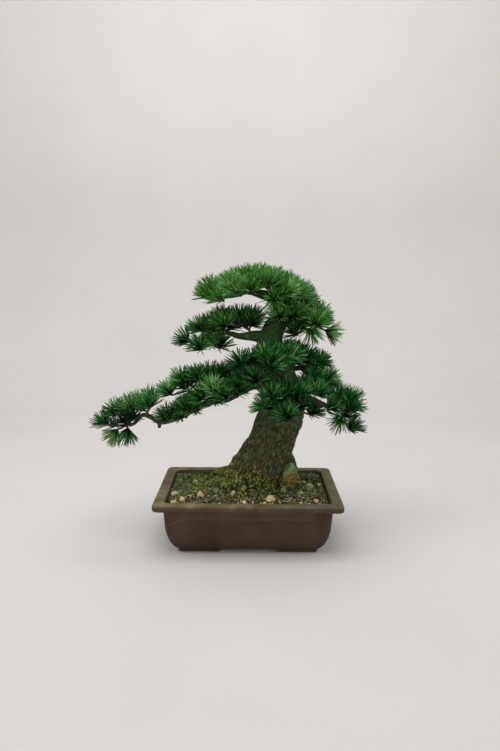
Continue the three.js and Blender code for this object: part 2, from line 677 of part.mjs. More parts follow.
function ringAround(centre, direction, side, radius, turn) {
  const other = direction.clone().cross(side);
  const ring = [];
  for (let i = 0; i < CORE_SIDES; i += 1) {
    const angle = ((i + turn) / CORE_SIDES) * 2 * Math.PI;
    ring.push(centre.clone()
      .addScaledVector(side, radius * Math.cos(angle))
      .addScaledVector(other, radius * Math.sin(angle)));
  }
  return ring;
}

// Distance between two segments, and how far along each of them it is found.
function segmentDistance(p, q, r, s) {
  const u = q.clone().sub(p);
  const v = s.clone().sub(r);
  const w = p.clone().sub(r);
  const a = u.dot(u);
  const b = u.dot(v);
  const c = v.dot(v);
  const d = u.dot(w);
  const e = v.dot(w);
  const clamp = (t) => Math.min(1, Math.max(0, t));
  const base = a * c - b * b;
  let first = base > 1e-9 ? clamp((b * e - c * d) / base) : 0;
  const second = clamp((b * first + e) / c);
  first = clamp((b * second - d) / a);
  const near = p.clone().addScaledVector(u, first).distanceTo(r.clone().addScaledVector(v, second));
  return { near, first, second };
}

// Everything that a needle must keep clear of: tapering segments, each with an owner.
const obstacles = [];

function addObstacle(start, end, startRadius, endRadius, owner) {
  const middle = start.clone().lerp(end, 0.5);
  const reach = start.distanceTo(end) / 2 + Math.max(startRadius, endRadius);
  obstacles.push({ start, end, startRadius, endRadius, owner, middle, reach });
}

function isClear(root, tip, owner) {
  const middle = root.clone().lerp(tip, 0.5);
  const reach = root.distanceTo(tip) / 2 + NEEDLE_RADIUS + NEEDLE_CLEARANCE;
  for (const other of obstacles) {
    if (middle.distanceToSquared(other.middle) > (reach + other.reach) ** 2) {
      continue;
    }
    const sibling = other.owner === owner;
    const from = sibling ? root.clone().lerp(tip, 0.3) : root;
    const otherFrom = sibling ? other.start.clone().lerp(other.end, 0.3) : other.start;
    const { near, first, second } = segmentDistance(from, tip, otherFrom, other.end);
    const mine = NEEDLE_RADIUS * (1 - first) * (sibling ? 0.7 : 1);
    const theirs = other.startRadius + (other.endRadius - other.startRadius) * second;
    if (near < mine + theirs * (sibling ? 0.7 : 1) + NEEDLE_CLEARANCE) {
      return false;
    }
  }
  return true;
}

function woodObstacles(path, radii, steps) {
  const curve = new THREE.CatmullRomCurve3(path.map(([x, y, z]) => V(x, y, z)));
  const radiusAt = (t) => {
    const place = t * (radii.length - 1);
    const low = Math.min(Math.floor(place), radii.length - 2);
    return radii[low] + (radii[low + 1] - radii[low]) * (place - low);
  };
  for (let i = 0; i < steps; i += 1) {
    const [t0, t1] = [i / steps, (i + 1) / steps];
    addObstacle(curve.getPoint(t0), curve.getPoint(t1), radiusAt(t0), radiusAt(t1), 'wood');
  }
}

// One needle on a face of the tuft's core: its tip, or null where there is no clear way for it.
function needleTip(corners, axisPoint, direction, lean, owner, random) {
  const root = corners.reduce((sum, p) => sum.add(p), V(0, 0, 0)).divideScalar(3);
  const normal = corners[1].clone().sub(corners[0]).cross(corners[2].clone().sub(corners[0])).normalize();
  const outward = root.clone().sub(axisPoint);
  outward.addScaledVector(direction, -outward.dot(direction)).normalize();
  const angle = THREE.MathUtils.degToRad(lean);
  const aim = direction.clone().multiplyScalar(Math.cos(angle)).addScaledVector(outward, Math.sin(angle));
  const length = NEEDLE_LENGTH * (0.9 + 0.1 * random());
  for (let attempt = 0; attempt < NEEDLE_JITTER.length; attempt += 1) {
    const spread = Math.tan(THREE.MathUtils.degToRad(NEEDLE_JITTER[attempt]));
    const way = aim.clone().add(V(random() - 0.5, random() - 0.5, random() - 0.5).multiplyScalar(2 * spread));
    way.normalize();
    const tip = root.clone().addScaledVector(way, length * NEEDLE_SHORTEN[attempt]);
    if (way.dot(normal) > 0.25 && isClear(root, tip, owner)) {
      addObstacle(root, tip, NEEDLE_RADIUS, 0, owner);
      return tip;
    }
  }
  return null;
}

// A shoot: a four-sided twig whose last stretch is the tuft's core. Each face of the core carries
// one needle, drawn out of the face itself as a three-sided spike.
function shootSolid({ start, base, direction }, owner, random) {
  const side = perpendicularTo(direction);
  const tangent = base.clone().sub(start).normalize();
  const startSide = side.clone().addScaledVector(tangent, -side.dot(tangent)).normalize();
  const circles = [ringAround(start, tangent, startSide, TWIG_RADIUS, 0)];
  CORE_LEVELS.forEach((height, level) => {
    const centre = base.clone().addScaledVector(direction, height);
    circles.push(ringAround(centre, direction, side, TWIG_RADIUS * CORE_TAPER[level], (level + 1) / 2));
  });
  const points = circles.flat();
  const rings = circles.map((circle, level) => circle.map((_, i) => level * CORE_SIDES + i));
  const crown = points.push(base.clone().addScaledVector(direction, CORE_TIP)) - 1;
  const foot = points.push(start.clone()) - 1;
  const triangles = [];
  const addFace = (face, lean) => {
    const corners = face.map((i) => points[i]);
    const tip = lean === null ? null : needleTip(corners, base, direction, lean, owner, random);
    if (tip === null) {
      triangles.push(face);
      return;
    }
    const apex = points.push(tip) - 1;
    const [a, b, c] = face;
    triangles.push([a, b, apex], [b, c, apex], [c, a, apex]);
  };
  for (let level = 0; level < rings.length - 1; level += 1) {
    const [low, high] = [rings[level], rings[level + 1]];
    const leans = level === 0 ? [null, null] : NEEDLE_LEAN[level - 1];
    for (let i = 0; i < CORE_SIDES; i += 1) {
      const next = (i + 1) % CORE_SIDES;
      addFace([low[i], low[next], high[i]], leans[0]);
      addFace([low[next], high[next], high[i]], leans[1]);
    }
  }
  const last = rings.at(-1);
  for (let i = 0; i < CORE_SIDES; i += 1) {
    const next = (i + 1) % CORE_SIDES;
    addFace([last[i], last[next], crown], NEEDLE_LEAN[2][0]);
    triangles.push([foot, rings[0][next], rings[0][i]]);
  }
  return solidFrom(geometryFrom(points, triangles));
}

function stemSolid(stem) {
  const direction = stem[1].clone().sub(stem[0]).normalize();
  const side = perpendicularTo(direction);
  const rings = stem.map((point, i) => ringAround(point, direction, side, STEM_RADIUS - 0.2 * i, 0));
  return solidFrom(stackRings(rings));
}

function planFoliage() {
  woodObstacles(TRUNK, TRUNK_RADII, TRUNK_STEPS);
  for (const limb of Object.values(LIMBS)) {
    woodObstacles(limb.path, limb.radii, 10);
  }
  const sprays = PADS.flatMap((pad) => pad.sprays
    .map((spray, i) => ({ name: `spray_${pad.name}_${i + 1}`, ...planSpray(pad, spray) })));
  for (const { name, stem, shoots } of sprays) {
    addObstacle(stem[0], stem[1], STEM_RADIUS, STEM_RADIUS, name);
    shoots.forEach(({ start, base, direction }, i) => {
      const tip = base.clone().addScaledVector(direction, CORE_TIP);
      addObstacle(start, base, TWIG_RADIUS, TWIG_RADIUS, `${name}:${i}`);
      addObstacle(base, tip, TWIG_RADIUS, TWIG_RADIUS, `${name}:${i}`);
    });
  }
  return sprays;
}

function makeSpray(spray, woodHole, random) {
  const shoots = spray.shoots.map((shoot, i) => shootSolid(shoot, `${spray.name}:${i}`, random));
  return largestOf(join([stemSolid(spray.stem), ...shoots]).subtract(woodHole));
}

// ---------------------------------------------------------------- assembly

const FINISHES = {
  stoneware: { color: '#443a30', roughness: 0.75 },
  netting: { color: '#2c2f2c', roughness: 0.6 },
  soil: { color: '#4a4438', roughness: 0.95 },
  moss: { color: '#55602a', roughness: 0.95 },
  bark: { color: '#4d4a36', roughness: 0.9 },
  needles: { color: '#2c5a26', roughness: 0.55 },
  rock: { color: '#6a6142', roughness: 0.85 },
  cream: { color: '#bdaf74', roughness: 0.6 },
  palegreen: { color: '#9fad85', roughness: 0.6 },
  green: { color: '#6e9952', roughness: 0.6 },
  slate: { color: '#55584f', roughness: 0.7 },
};

const materials = Object.fromEntries(Object.entries(FINISHES)
  .map(([name, look]) => [name, new THREE.MeshStandardMaterial({ ...look, metalness: 0 })]));

const bonsai = new THREE.Group();

function place(name, geometry, finish) {
  const mesh = new THREE.Mesh(geometry, materials[finish]);
  mesh.name = name;
  bonsai.add(mesh);
  return mesh;
}

const woodHole = makeWood(GAP);

place('pot', geometryOf(makePot()), 'stoneware');
for (const [name, x] of [['drain_screen_left', -DRAIN_X], ['drain_screen_right', DRAIN_X]]) {
  const screen = place(name, geometryOf(makeScreen()), 'netting');
  screen.position.set(x, 0, HOLLOW_FLOOR + GAP + SCREEN_THICKNESS / 2);
}
place('soil', geometryOf(makeSoil(woodHole)), 'soil');
place('wood', geometryOf(makeWood(0)), 'bark');

const raisedSoil = soilBlock(GAP);
const rock = largestOf(stoneAt(ROCK, 0, ROCK_BALL, 0).subtract(raisedSoil).subtract(woodHole));
place('rock', geometryOf(rock), 'rock');
PEBBLES.forEach((pebble, i) => {
  const solid = largestOf(stoneAt(pebble, i + 1, PEBBLE_BALL, 0).subtract(raisedSoil).subtract(woodHole));
  place(`pebble_${i + 1}`, geometryOf(solid), pebble.finish);
});
const pebbleHoles = PEBBLES.map((pebble, i) => stoneAt(pebble, i + 1, PEBBLE_BALL, GAP));
const stoneHoles = [stoneAt(ROCK, 0, ROCK_BALL, GAP), ...pebbleHoles];
place('moss', geometryOf(makeMoss(woodHole, stoneHoles)), 'moss');

const draw = randomFrom(SEED);
for (const spray of planFoliage()) {
  place(spray.name, geometryOf(makeSpray(spray, woodHole, draw)), 'needles');
}

// The whole is moved sideways so that its origin lies under the middle of its own box.
const reach = new THREE.Box3().setFromObject(bonsai);
const middle = reach.getCenter(V(0, 0, 0));
bonsai.position.set(-middle.x, -middle.y, 0);

export default bonsai;
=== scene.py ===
# %% [markdown]
# # A pine bonsai in an oblong stoneware pot
#
# The measured model of the potted tree comes in first and stays as it is. Every step after that
# dresses one part of it: the fired pot, the grit, the moss, the bark and the needles. Most pieces
# are fine meshes that stand for a plain solid of the model and keep its place and form. They are
# worked out from the same few sizes as the solids, so the two always agree.

# %% Load the measured model
import math
from functools import partial

import bmesh
import bpy
import numpy as np
from mathutils import Matrix, Vector, noise


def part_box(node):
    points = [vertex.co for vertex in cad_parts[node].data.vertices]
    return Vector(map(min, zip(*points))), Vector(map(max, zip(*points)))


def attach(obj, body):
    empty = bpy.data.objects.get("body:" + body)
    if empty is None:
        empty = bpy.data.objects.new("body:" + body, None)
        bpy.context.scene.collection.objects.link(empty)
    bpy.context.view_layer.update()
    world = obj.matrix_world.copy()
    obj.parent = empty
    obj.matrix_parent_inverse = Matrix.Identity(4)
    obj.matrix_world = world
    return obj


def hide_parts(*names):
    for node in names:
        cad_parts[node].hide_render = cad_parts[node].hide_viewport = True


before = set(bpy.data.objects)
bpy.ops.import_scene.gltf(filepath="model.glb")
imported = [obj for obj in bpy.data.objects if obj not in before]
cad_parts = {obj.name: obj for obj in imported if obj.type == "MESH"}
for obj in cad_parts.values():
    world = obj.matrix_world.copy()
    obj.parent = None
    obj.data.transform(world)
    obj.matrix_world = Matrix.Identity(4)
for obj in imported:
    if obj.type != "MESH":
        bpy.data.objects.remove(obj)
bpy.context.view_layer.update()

# %% [markdown]
# ## One place to measure from
#
# Blender counts in metres, but a pot and its needles are easier to think of in millimetres from
# the middle of the pot, at the level of its feet. So every size below is in millimetres, and one
# function turns places into the model's own frame. It reads the pot's place from the model.

# %% Millimetres from the pot's middle
MM = 0.001
pot_low, pot_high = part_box("pot")
pot_middle = np.array([(pot_low.x + pot_high.x) / 2, (pot_low.y + pot_high.y) / 2, pot_low.z])


def in_frame(places):
    """Places in millimetres from the pot's middle, as metres in the model's frame."""
    return np.asarray(places, dtype=float) * MM + pot_middle


print("pot's middle:", pot_middle.round(4))

# %% [markdown]
# ## The camera
#
# The photograph looks at the long side of the pot from a little above the tree's middle. The four
# corners of the rim fix that view: a camera just over a metre away, 501 mm up, tipped down by
# about nine degrees. The frame is 500 by 751 pixels, so the lens is worked out from its height.

# %% Camera at the photograph's angle
CAMERA_PLACE = (5, -1192, 501)
CAMERA_DOWN = 8.81
CAMERA_YAW = 0.15
CAMERA_ROLL = 0.32
FRAME_HEIGHT = 751
FOCAL_PIXELS = 640
SENSOR = 36

camera = bpy.data.objects.new("camera", bpy.data.cameras.new("camera"))
bpy.context.scene.collection.objects.link(camera)
camera.data.sensor_width = SENSOR
camera.data.lens = FOCAL_PIXELS / FRAME_HEIGHT * SENSOR
turn = Matrix.Rotation(math.radians(CAMERA_YAW), 4, "Z")
tip = Matrix.Rotation(math.radians(90 - CAMERA_DOWN), 4, "X")
roll = Matrix.Rotation(math.radians(CAMERA_ROLL), 4, "Z")
camera.matrix_world = Matrix.Translation(in_frame(CAMERA_PLACE)) @ turn @ tip @ roll
bpy.context.scene.camera = camera
print("lens in mm:", round(camera.data.lens, 2))

# %% [markdown]
# ## Colours and nodes
#
# Colours are written the way a colour picker shows them, as sRGB hex values. Shaders add light, so
# they need linear values, and one function makes the change. A second small function adds a shader
# node with its settings and links, which keeps each material readable from top to bottom.

# %% Helpers for every material
MIX_A = 6
MIX_B = 7
MIX_OUT = 2


def linear(hex_colour):
    """An sRGB hex colour such as '#3e342a' as linear red, green, blue and alpha."""
    parts = [int(hex_colour[i:i + 2], 16) / 255 for i in (1, 3, 5)]
    return tuple(c / 12.92 if c <= 0.04045 else ((c + 0.055) / 1.055) ** 2.4 for c in parts) + (1,)


def result_of(source):
    """A socket as it is, or a node's result: a Mix node has that of its colours further down."""
    if isinstance(source, bpy.types.NodeSocket):
        return source
    return source.outputs[MIX_OUT if source.bl_idname == "ShaderNodeMix" else 0]


def add_node(tree, kind, settings=None, links=None):
    """Adds a node. Settings go to its inputs, its ramp's stops or its options; links to its inputs."""
    node = tree.nodes.new("ShaderNode" + kind)
    if kind == "Mix":
        node.data_type = "RGBA"
    for name, value in (settings or {}).items():
        if name == "stops":
            ramp = node.color_ramp
            while len(ramp.elements) < len(value):
                ramp.elements.new(0.5)
            for element, (place, colour) in zip(ramp.elements, value):
                element.position = place
                element.color = linear(colour)
        elif isinstance(name, int) or name in node.inputs:
            node.inputs[name].default_value = linear(value) if isinstance(value, str) else value
        else:
            setattr(node, name, value)
    for name, source in (links or {}).items():
        tree.links.new(result_of(source), node.inputs[name])
    return node


def new_material(name):
    """A material, and the function that adds nodes, made ready for this material's tree."""
    material = bpy.data.materials.new(name)
    material.use_nodes = True
    return material, partial(add_node, material.node_tree)


def coated(material, links, values):
    """Links nodes to the surface shader, and sets what is the same all over on its own sockets."""
    tree = material.node_tree
    surface = tree.nodes["Principled BSDF"]
    for name, source in links.items():
        tree.links.new(result_of(source), surface.inputs[name])
    for name, value in values.items():
        surface.inputs[name].default_value = value
    return material


def per_mm(size):
    """The texture scale at which a pattern's features are this many millimetres across."""
    return 1 / (size * MM)


print("a feature of 2 mm needs a texture scale of", per_mm(2))

# %% [markdown]
# ## Paper backdrop and soft studio light
#
# A product photograph is taken on a sweep of pale paper, so no line shows where floor and wall
# meet. Here the sweep runs all the way round, because the part is also looked at from its sides and
# back. One large soft box hangs above and to the left, and a weaker one stands at the right. Two in
# front light the soil and the pot, one above the crown and the floor, and one the wall behind. The
# room's own pale air keeps the shadows soft.

# %% Round paper sweep
FLOOR_REACH = 1300
SWEEP_BEND = 800
SWEEP_TOP = 2900
SWEEP_SIDES = 96


def paper_sweep():
    """A floor that curves up into a wall, turned round the object's upright axis."""
    profile = [(1, 0), (FLOOR_REACH, 0)]
    for step in range(1, 13):
        angle = math.radians(90 * step / 12)
        profile.append((FLOOR_REACH + SWEEP_BEND * math.sin(angle), SWEEP_BEND * (1 - math.cos(angle))))
    profile.append((FLOOR_REACH + SWEEP_BEND, SWEEP_TOP))
    sweep = bmesh.new()
    rings = []
    for reach, height in profile:
        ring = []
        for side in range(SWEEP_SIDES):
            angle = 2 * math.pi * side / SWEEP_SIDES
            place = in_frame((reach * math.cos(angle), reach * math.sin(angle), height))
            ring.append(sweep.verts.new(place))
        rings.append(ring)
    for low, high in zip(rings, rings[1:]):
        for side in range(SWEEP_SIDES):
            after = (side + 1) % SWEEP_SIDES
            sweep.faces.new((low[side], low[after], high[after], high[side]))
    sweep.faces.new(rings[0])
    mesh = bpy.data.meshes.new("paper_sweep")
    sweep.to_mesh(mesh)
    sweep.free()
    mesh.shade_smooth()
    return bpy.data.objects.new("paper_sweep", mesh)


backdrop = paper_sweep()
bpy.context.scene.collection.objects.link(backdrop)

# %% Matt paper
# Uncoated paper is a mat of pressed fibres: no gloss, and a faint cloudiness where it is thicker.
paper, add = new_material("matt_background_paper")
place = add("TexCoord").outputs["Object"]
clouds = add("TexNoise", {"Scale": per_mm(400), "Detail": 2}, {"Vector": place})
tones = add("ValToRGB", {"stops": [(0.3, "#d7d4d1"), (0.7, "#dbd8d5")]}, {"Fac": clouds})
backdrop.data.materials.append(coated(paper, {"Base Color": tones}, {
    "Roughness": 0.95, "Specular IOR Level": 0.2,
}))

# %% Soft lights
def soft_light(name, place, aim, size, watts, colour):
    """A square soft box at a place in millimetres, turned to face another place."""
    data = bpy.data.lights.new(name, "AREA")
    data.shape = "SQUARE"
    data.size = size * MM
    data.energy = watts
    data.color = linear(colour)[:3]
    light = bpy.data.objects.new(name, data)
    bpy.context.scene.collection.objects.link(light)
    start, end = Vector(in_frame(place)), Vector(in_frame(aim))
    light.location = start
    light.rotation_euler = (end - start).to_track_quat("-Z", "Y").to_euler()
    light.visible_camera = False


TREE_MIDDLE = (0, 0, 280)
soft_light("soft_box_left", (-1200, -500, 1450), TREE_MIDDLE, 900, 6, "#fffefc")
soft_light("soft_box_right", (1300, -300, 900), TREE_MIDDLE, 900, 3, "#f8f9ff")
soft_light("soft_box_above", (0, 600, 2500), (0, 800, 0), 1900, 6.5, "#ffffff")
soft_light("backdrop_light", (0, 800, 1900), (0, 2100, 1000), 900, 9.2, "#ffffff")
soft_light("front_top", (-150, -350, 1350), (0, 0, 100), 900, 4.4, "#ffffff")
soft_light("front_fill", (100, -1450, 600), (0, 0, 120), 760, 2.3, "#ffffff")

world = bpy.data.worlds.new("studio_air")
world.use_nodes = True
air = world.node_tree.nodes["Background"].inputs
air["Color"].default_value = linear("#f7f7f9")
air["Strength"].default_value = 0.74
bpy.context.scene.world = world
bpy.context.scene.view_settings.view_transform = "Standard"
print("lights:", len(bpy.data.lights))

# %% [markdown]
# ## Meshes from numbers
#
# Potted plants are made of many alike things, such as needles, grains and strands of moss. A loop
# that adds them one by one is slow, so each kind is worked out as whole arrays of points and
# faces, and one function turns the arrays into a mesh. Each object stays at the origin, and its
# place is in its mesh. Everything here rides on the model's one body, called root.

# %% From arrays to a piece
SEED = 20240


def piece_from(name, points, faces, material, replaces=(), marks=None, smooth=True):
    """A mesh object from points in millimetres and arrays of faces, with marks for its shader."""
    mesh = bpy.data.meshes.new(name)
    mesh.vertices.add(len(points))
    mesh.vertices.foreach_set("co", in_frame(points).ravel())
    corners = np.concatenate([np.ravel(group) for group in faces])
    sizes = np.concatenate([np.full(len(group), np.shape(group)[1]) for group in faces])
    mesh.loops.add(len(corners))
    mesh.loops.foreach_set("vertex_index", corners.astype(np.int32))
    mesh.polygons.add(len(sizes))
    mesh.polygons.foreach_set("loop_start", np.concatenate([[0], np.cumsum(sizes)[:-1]]).astype(np.int32))
    mesh.update(calc_edges=True)
    for label, values in (marks or {}).items():
        set_mark(mesh, label, values)
    if smooth:
        mesh.shade_smooth()
    return dress(bpy.data.objects.new(name, mesh), material, replaces)


def set_mark(mesh, label, values):
    """Keeps a number or a vector for each point of a mesh, which its shader reads by this label."""
    values = np.asarray(values, dtype=np.float32)
    kind, field = ("FLOAT", "value") if values.ndim == 1 else ("FLOAT_VECTOR", "vector")
    mesh.attributes.new(label, kind, "POINT").data.foreach_set(field, values.ravel())


def own_points(piece):
    """A piece's points in millimetres from the pot's middle."""
    flat = np.empty(3 * len(piece.data.vertices))
    piece.data.vertices.foreach_get("co", flat)
    return (flat.reshape(-1, 3) - pot_middle) / MM


def own_normals(piece):
    """The direction straight out of the skin at each of a piece's points."""
    flat = np.empty(3 * len(piece.data.vertices))
    piece.data.vertex_normals.foreach_get("vector", flat)
    return flat.reshape(-1, 3)


def dress(piece, material, replaces=()):
    """Gives a piece its finish, its body and the solids that it stands for."""
    if piece.name not in bpy.context.scene.collection.objects:
        bpy.context.scene.collection.objects.link(piece)
    piece.data.materials.clear()
    piece.data.materials.append(material)
    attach(piece, "root")
    if replaces:
        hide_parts(*replaces)
    return piece


def loft(rings):
    """Points and faces of a closed skin over a stack of rings, each listed anticlockwise."""
    rings = np.asarray(rings, dtype=float)
    levels, count, _ = rings.shape
    index = np.arange(levels * count).reshape(levels, count)
    after = np.roll(index, -1, axis=1)
    quads = np.stack([index[:-1], after[:-1], after[1:], index[1:]], axis=-1).reshape(-1, 4)
    points = np.vstack([rings.reshape(-1, 3), rings[0].mean(axis=0), rings[-1].mean(axis=0)])
    bottom = np.full(count, levels * count)
    triangles = np.concatenate([
        np.stack([bottom, after[0], index[0]], axis=-1),
        np.stack([bottom + 1, index[-1], after[-1]], axis=-1),
    ])
    return points, quads, triangles


def together(skins):
    """Several (points, quads, triangles) as one."""
    starts = np.cumsum([0] + [len(points) for points, _, _ in skins])
    points = np.vstack([skin[0] for skin in skins])
    quads = np.vstack([skin[1] + start for skin, start in zip(skins, starts)])
    triangles = np.vstack([skin[2] + start for skin, start in zip(skins, starts)])
    return points, quads, triangles


def unit(vectors):
    """Vectors scaled to length 1."""
    return vectors / np.linalg.norm(vectors, axis=-1, keepdims=True)


def any_sides(ways, random):
    """Two directions across each of many ways, turned at random."""
    side = unit(np.cross(ways, unit(random.normal(size=ways.shape))))
    return side, np.cross(ways, side)


def level_sides(way):
    """Two directions across one way. The first is level, unless the way is nearly upright."""
    side = unit(np.cross(way, (0, 0, 1.0) if abs(way[2]) < 0.9 else (1.0, 0, 0)))
    return side, np.cross(way, side)


def on_plan(x, y):
    """Places at height 0."""
    return np.column_stack([x, y, np.zeros(np.size(x))])


def noise_at(places, size):
    """Smooth noise between about -1 and 1 at each place, with features of this size."""
    return np.array([noise.noise(Vector(p)) for p in np.asarray(places) / size])


print("mesh tools are ready, seed", SEED)

# %% [markdown]
# ## The pot
#
# The pot is pressed from dark stoneware clay in a mould and fired without a glaze. Its plan is an
# oblong with rounded corners, and its wall rises from a drawn-in bottom to a broad out-turned
# lip. A stack of rings follows that wall, outside and inside, from the same sizes as the solid.
# Many more points make the corners and roundings true, and leave room for the shallow line
# that the maker cut round the front, and for the slight unevenness of fired clay.

# %% Sizes of the pot
POT_LENGTH = 340
POT_DEPTH = 240
POT_HEIGHT = 101
FOOT_HEIGHT = 8
LIP_HEIGHT = 11.5
RIM_WIDTH = 20
HOLLOW_FLOOR = 16
CORNER_OFFSET = (POT_LENGTH - POT_DEPTH) / 2
RIM_HALF = POT_LENGTH / 2
INNER_HALF = RIM_HALF - RIM_WIDTH
LIP_UNDERSIDE = POT_HEIGHT - LIP_HEIGHT
WALL_BEND = 52
RIM_CORNER = 10
BODY_CORNER = 17
HOLLOW_BEND_HALF = 144
OUTER_BEND_HALF = 151
ROUND = 21
ROUND_POWER = 1.25
CORNER_STEPS = 9
SIDE_STEP = 1.6


def pot_ring(half_length, z, corner):
    """One ring of the oblong plan: rounded corners, with even steps along the straight sides."""
    half_depth = half_length - CORNER_OFFSET
    arcs = []
    for quarter, (side_x, side_y) in enumerate([(1, 1), (-1, 1), (-1, -1), (1, -1)]):
        angle = np.radians(90 * (quarter + np.linspace(0, 1, CORNER_STEPS)))
        x = side_x * (half_length - corner) + corner * np.cos(angle)
        y = side_y * (half_depth - corner) + corner * np.sin(angle)
        arcs.append(np.stack([x, y, np.full(CORNER_STEPS, z)], axis=-1))
    ring = []
    for quarter, arc in enumerate(arcs):
        after = arcs[(quarter + 1) % 4]
        length = POT_LENGTH if quarter % 2 == 0 else POT_DEPTH
        share = np.linspace(0, 1, round(length / SIDE_STEP))[1:-1, None]
        ring.append(arc)
        ring.append(arc[-1] * (1 - share) + after[0] * share)
    return np.vstack(ring)


def rounded_foot(bend_half, floor, steps):
    """Half lengths and heights of a wall that draws in below its bend, from the floor upwards."""
    angle = np.radians(np.linspace(90, 0, steps))
    half = bend_half - ROUND + ROUND * np.cos(angle) ** ROUND_POWER
    z = WALL_BEND - (WALL_BEND - floor) * np.sin(angle) ** ROUND_POWER
    return list(zip(half, z))


def arc_levels(start, end, steps, outward):
    """A quarter round from one (half length, height) to another, bulging outward or upward first."""
    levels = []
    for angle in np.radians(np.linspace(0, 90, steps)):
        first, second = math.sin(angle), 1 - math.cos(angle)
        share_half, share_z = (first, second) if outward else (second, first)
        half = start[0] + (end[0] - start[0]) * share_half
        levels.append((half, start[1] + (end[1] - start[1]) * share_z))
    return levels


print("ring of", len(pot_ring(RIM_HALF, 0, RIM_CORNER)), "points")

# %% The wall from the bottom, over the lip and down inside
COVE_START = (RIM_HALF - 16.5, LIP_UNDERSIDE - 5)
COVE_END = (RIM_HALF - 13.5, LIP_UNDERSIDE)
LIP_ROUND = 2.6
LINE_HEIGHT = 72
LINE_ZONE = (60, 76)


def outside_levels():
    """Half length, height and corner radius of each ring up to the cove under the lip."""
    levels = []
    for half, z in rounded_foot(OUTER_BEND_HALF, FOOT_HEIGHT, 18):
        levels.append((half, z, BODY_CORNER - (OUTER_BEND_HALF - half) / 2))
    heights = np.concatenate([
        np.arange(WALL_BEND + 2, LINE_ZONE[0], 2),
        np.arange(LINE_ZONE[0], LINE_ZONE[1], 0.45),
        np.arange(LINE_ZONE[1], COVE_START[1], 2),
    ])
    for z in heights:
        share = (z - WALL_BEND) / (COVE_START[1] - WALL_BEND)
        levels.append((OUTER_BEND_HALF + (COVE_START[0] - OUTER_BEND_HALF) * share, z, BODY_CORNER))
    levels += [(half, z, BODY_CORNER) for half, z in arc_levels(COVE_START, COVE_END, 6, False)]
    return levels


def lip_levels():
    """The broad lip: its underside, its two rounded outer edges, its flat top and its inner edge."""
    under, top = LIP_UNDERSIDE, POT_HEIGHT
    edge = RIM_HALF
    levels = [(edge - 9, under - 0.3), (edge - 5, under - 0.3)]
    levels += arc_levels((edge - LIP_ROUND, under), (edge, under + LIP_ROUND), 6, True)
    levels += [(edge, under + 5)]
    levels += arc_levels((edge, top - LIP_ROUND), (edge - LIP_ROUND, top), 6, False)
    levels += [(edge - 6, top + 0.1), (edge - 10, top + 0.1), (edge - 14, top)]
    levels += arc_levels((INNER_HALF + 1.8, top), (INNER_HALF, top - 1.8), 5, True)
    return [(half, z, RIM_CORNER) for half, z in levels]


def inside_levels():
    """The hidden inner wall, down to the floor of the hollow."""
    down = [(INNER_HALF - 1.5, 88), (INNER_HALF - 3, 76), (INNER_HALF - 4.5, 64)]
    down += rounded_foot(HOLLOW_BEND_HALF, HOLLOW_FLOOR, 10)[::-1]
    return [(half, z, BODY_CORNER - 5) for half, z in down]


pot_rings = np.array([pot_ring(*level) for level in outside_levels() + lip_levels() + inside_levels()])
print("pot wall:", pot_rings.shape[0], "rings of", pot_rings.shape[1])

# %% The cut line and the unevenness of clay
LINE_END = 112
LINE_DROP = 9
LINE_DEPTH = 0.75
LINE_WIDTH = 1.1
WARP = 0.45


def line_distance(x, z):
    """How far a place on the front is from the cut line, which turns down at its two ends."""
    beyond = np.maximum(np.abs(x) - LINE_END, 0)
    straight = np.hypot(beyond, z - LINE_HEIGHT)
    above_bend = z - (LINE_HEIGHT - LINE_DROP)
    bend = np.abs(np.hypot(np.abs(x) - LINE_END, above_bend) - LINE_DROP)
    on_bend = (np.abs(x) > LINE_END) & (above_bend > 0)
    return np.where(on_bend, bend, straight)


def uneven_clay(rings):
    """Presses in the line on the two long sides and warps every wall very slightly."""
    points = rings.reshape(-1, 3).copy()
    x, y, z = points.T
    plane = CORNER_OFFSET + np.abs(y) > np.abs(x) + 18
    outside = np.repeat(np.arange(len(rings)), rings.shape[1]) < len(outside_levels())
    distance = line_distance(x, z)
    groove = LINE_DEPTH * np.exp(-(distance / LINE_WIDTH) ** 2) * plane * outside
    points[:, 1] -= np.sign(y) * groove
    outward = unit(points * np.array([0.7, 1, 0]) + 1e-9)
    points += outward * (WARP * noise_at(points, 70) + 0.12 * noise_at(points, 11))[:, None]
    points[:, 2] += 0.3 * noise_at(points + 500, 90) * (z > FOOT_HEIGHT + 1)
    return points.reshape(rings.shape)


pot_rings = uneven_clay(pot_rings)
print("deepest cut of the line:", LINE_DEPTH, "mm")

# %% Feet with flared ends
FOOT_CORNER_X = 128
FOOT_CORNER_Y = FOOT_CORNER_X - CORNER_OFFSET
FOOT_LONG_LEG = 76
FOOT_SHORT_LEG = 44
FOOT_WIDTH = 17
FOOT_FLARE = 10
FOOT_CORNER_RADIUS = 7
FOOT_SINK = 3
FOOT_SOFT_EDGE = 0.8


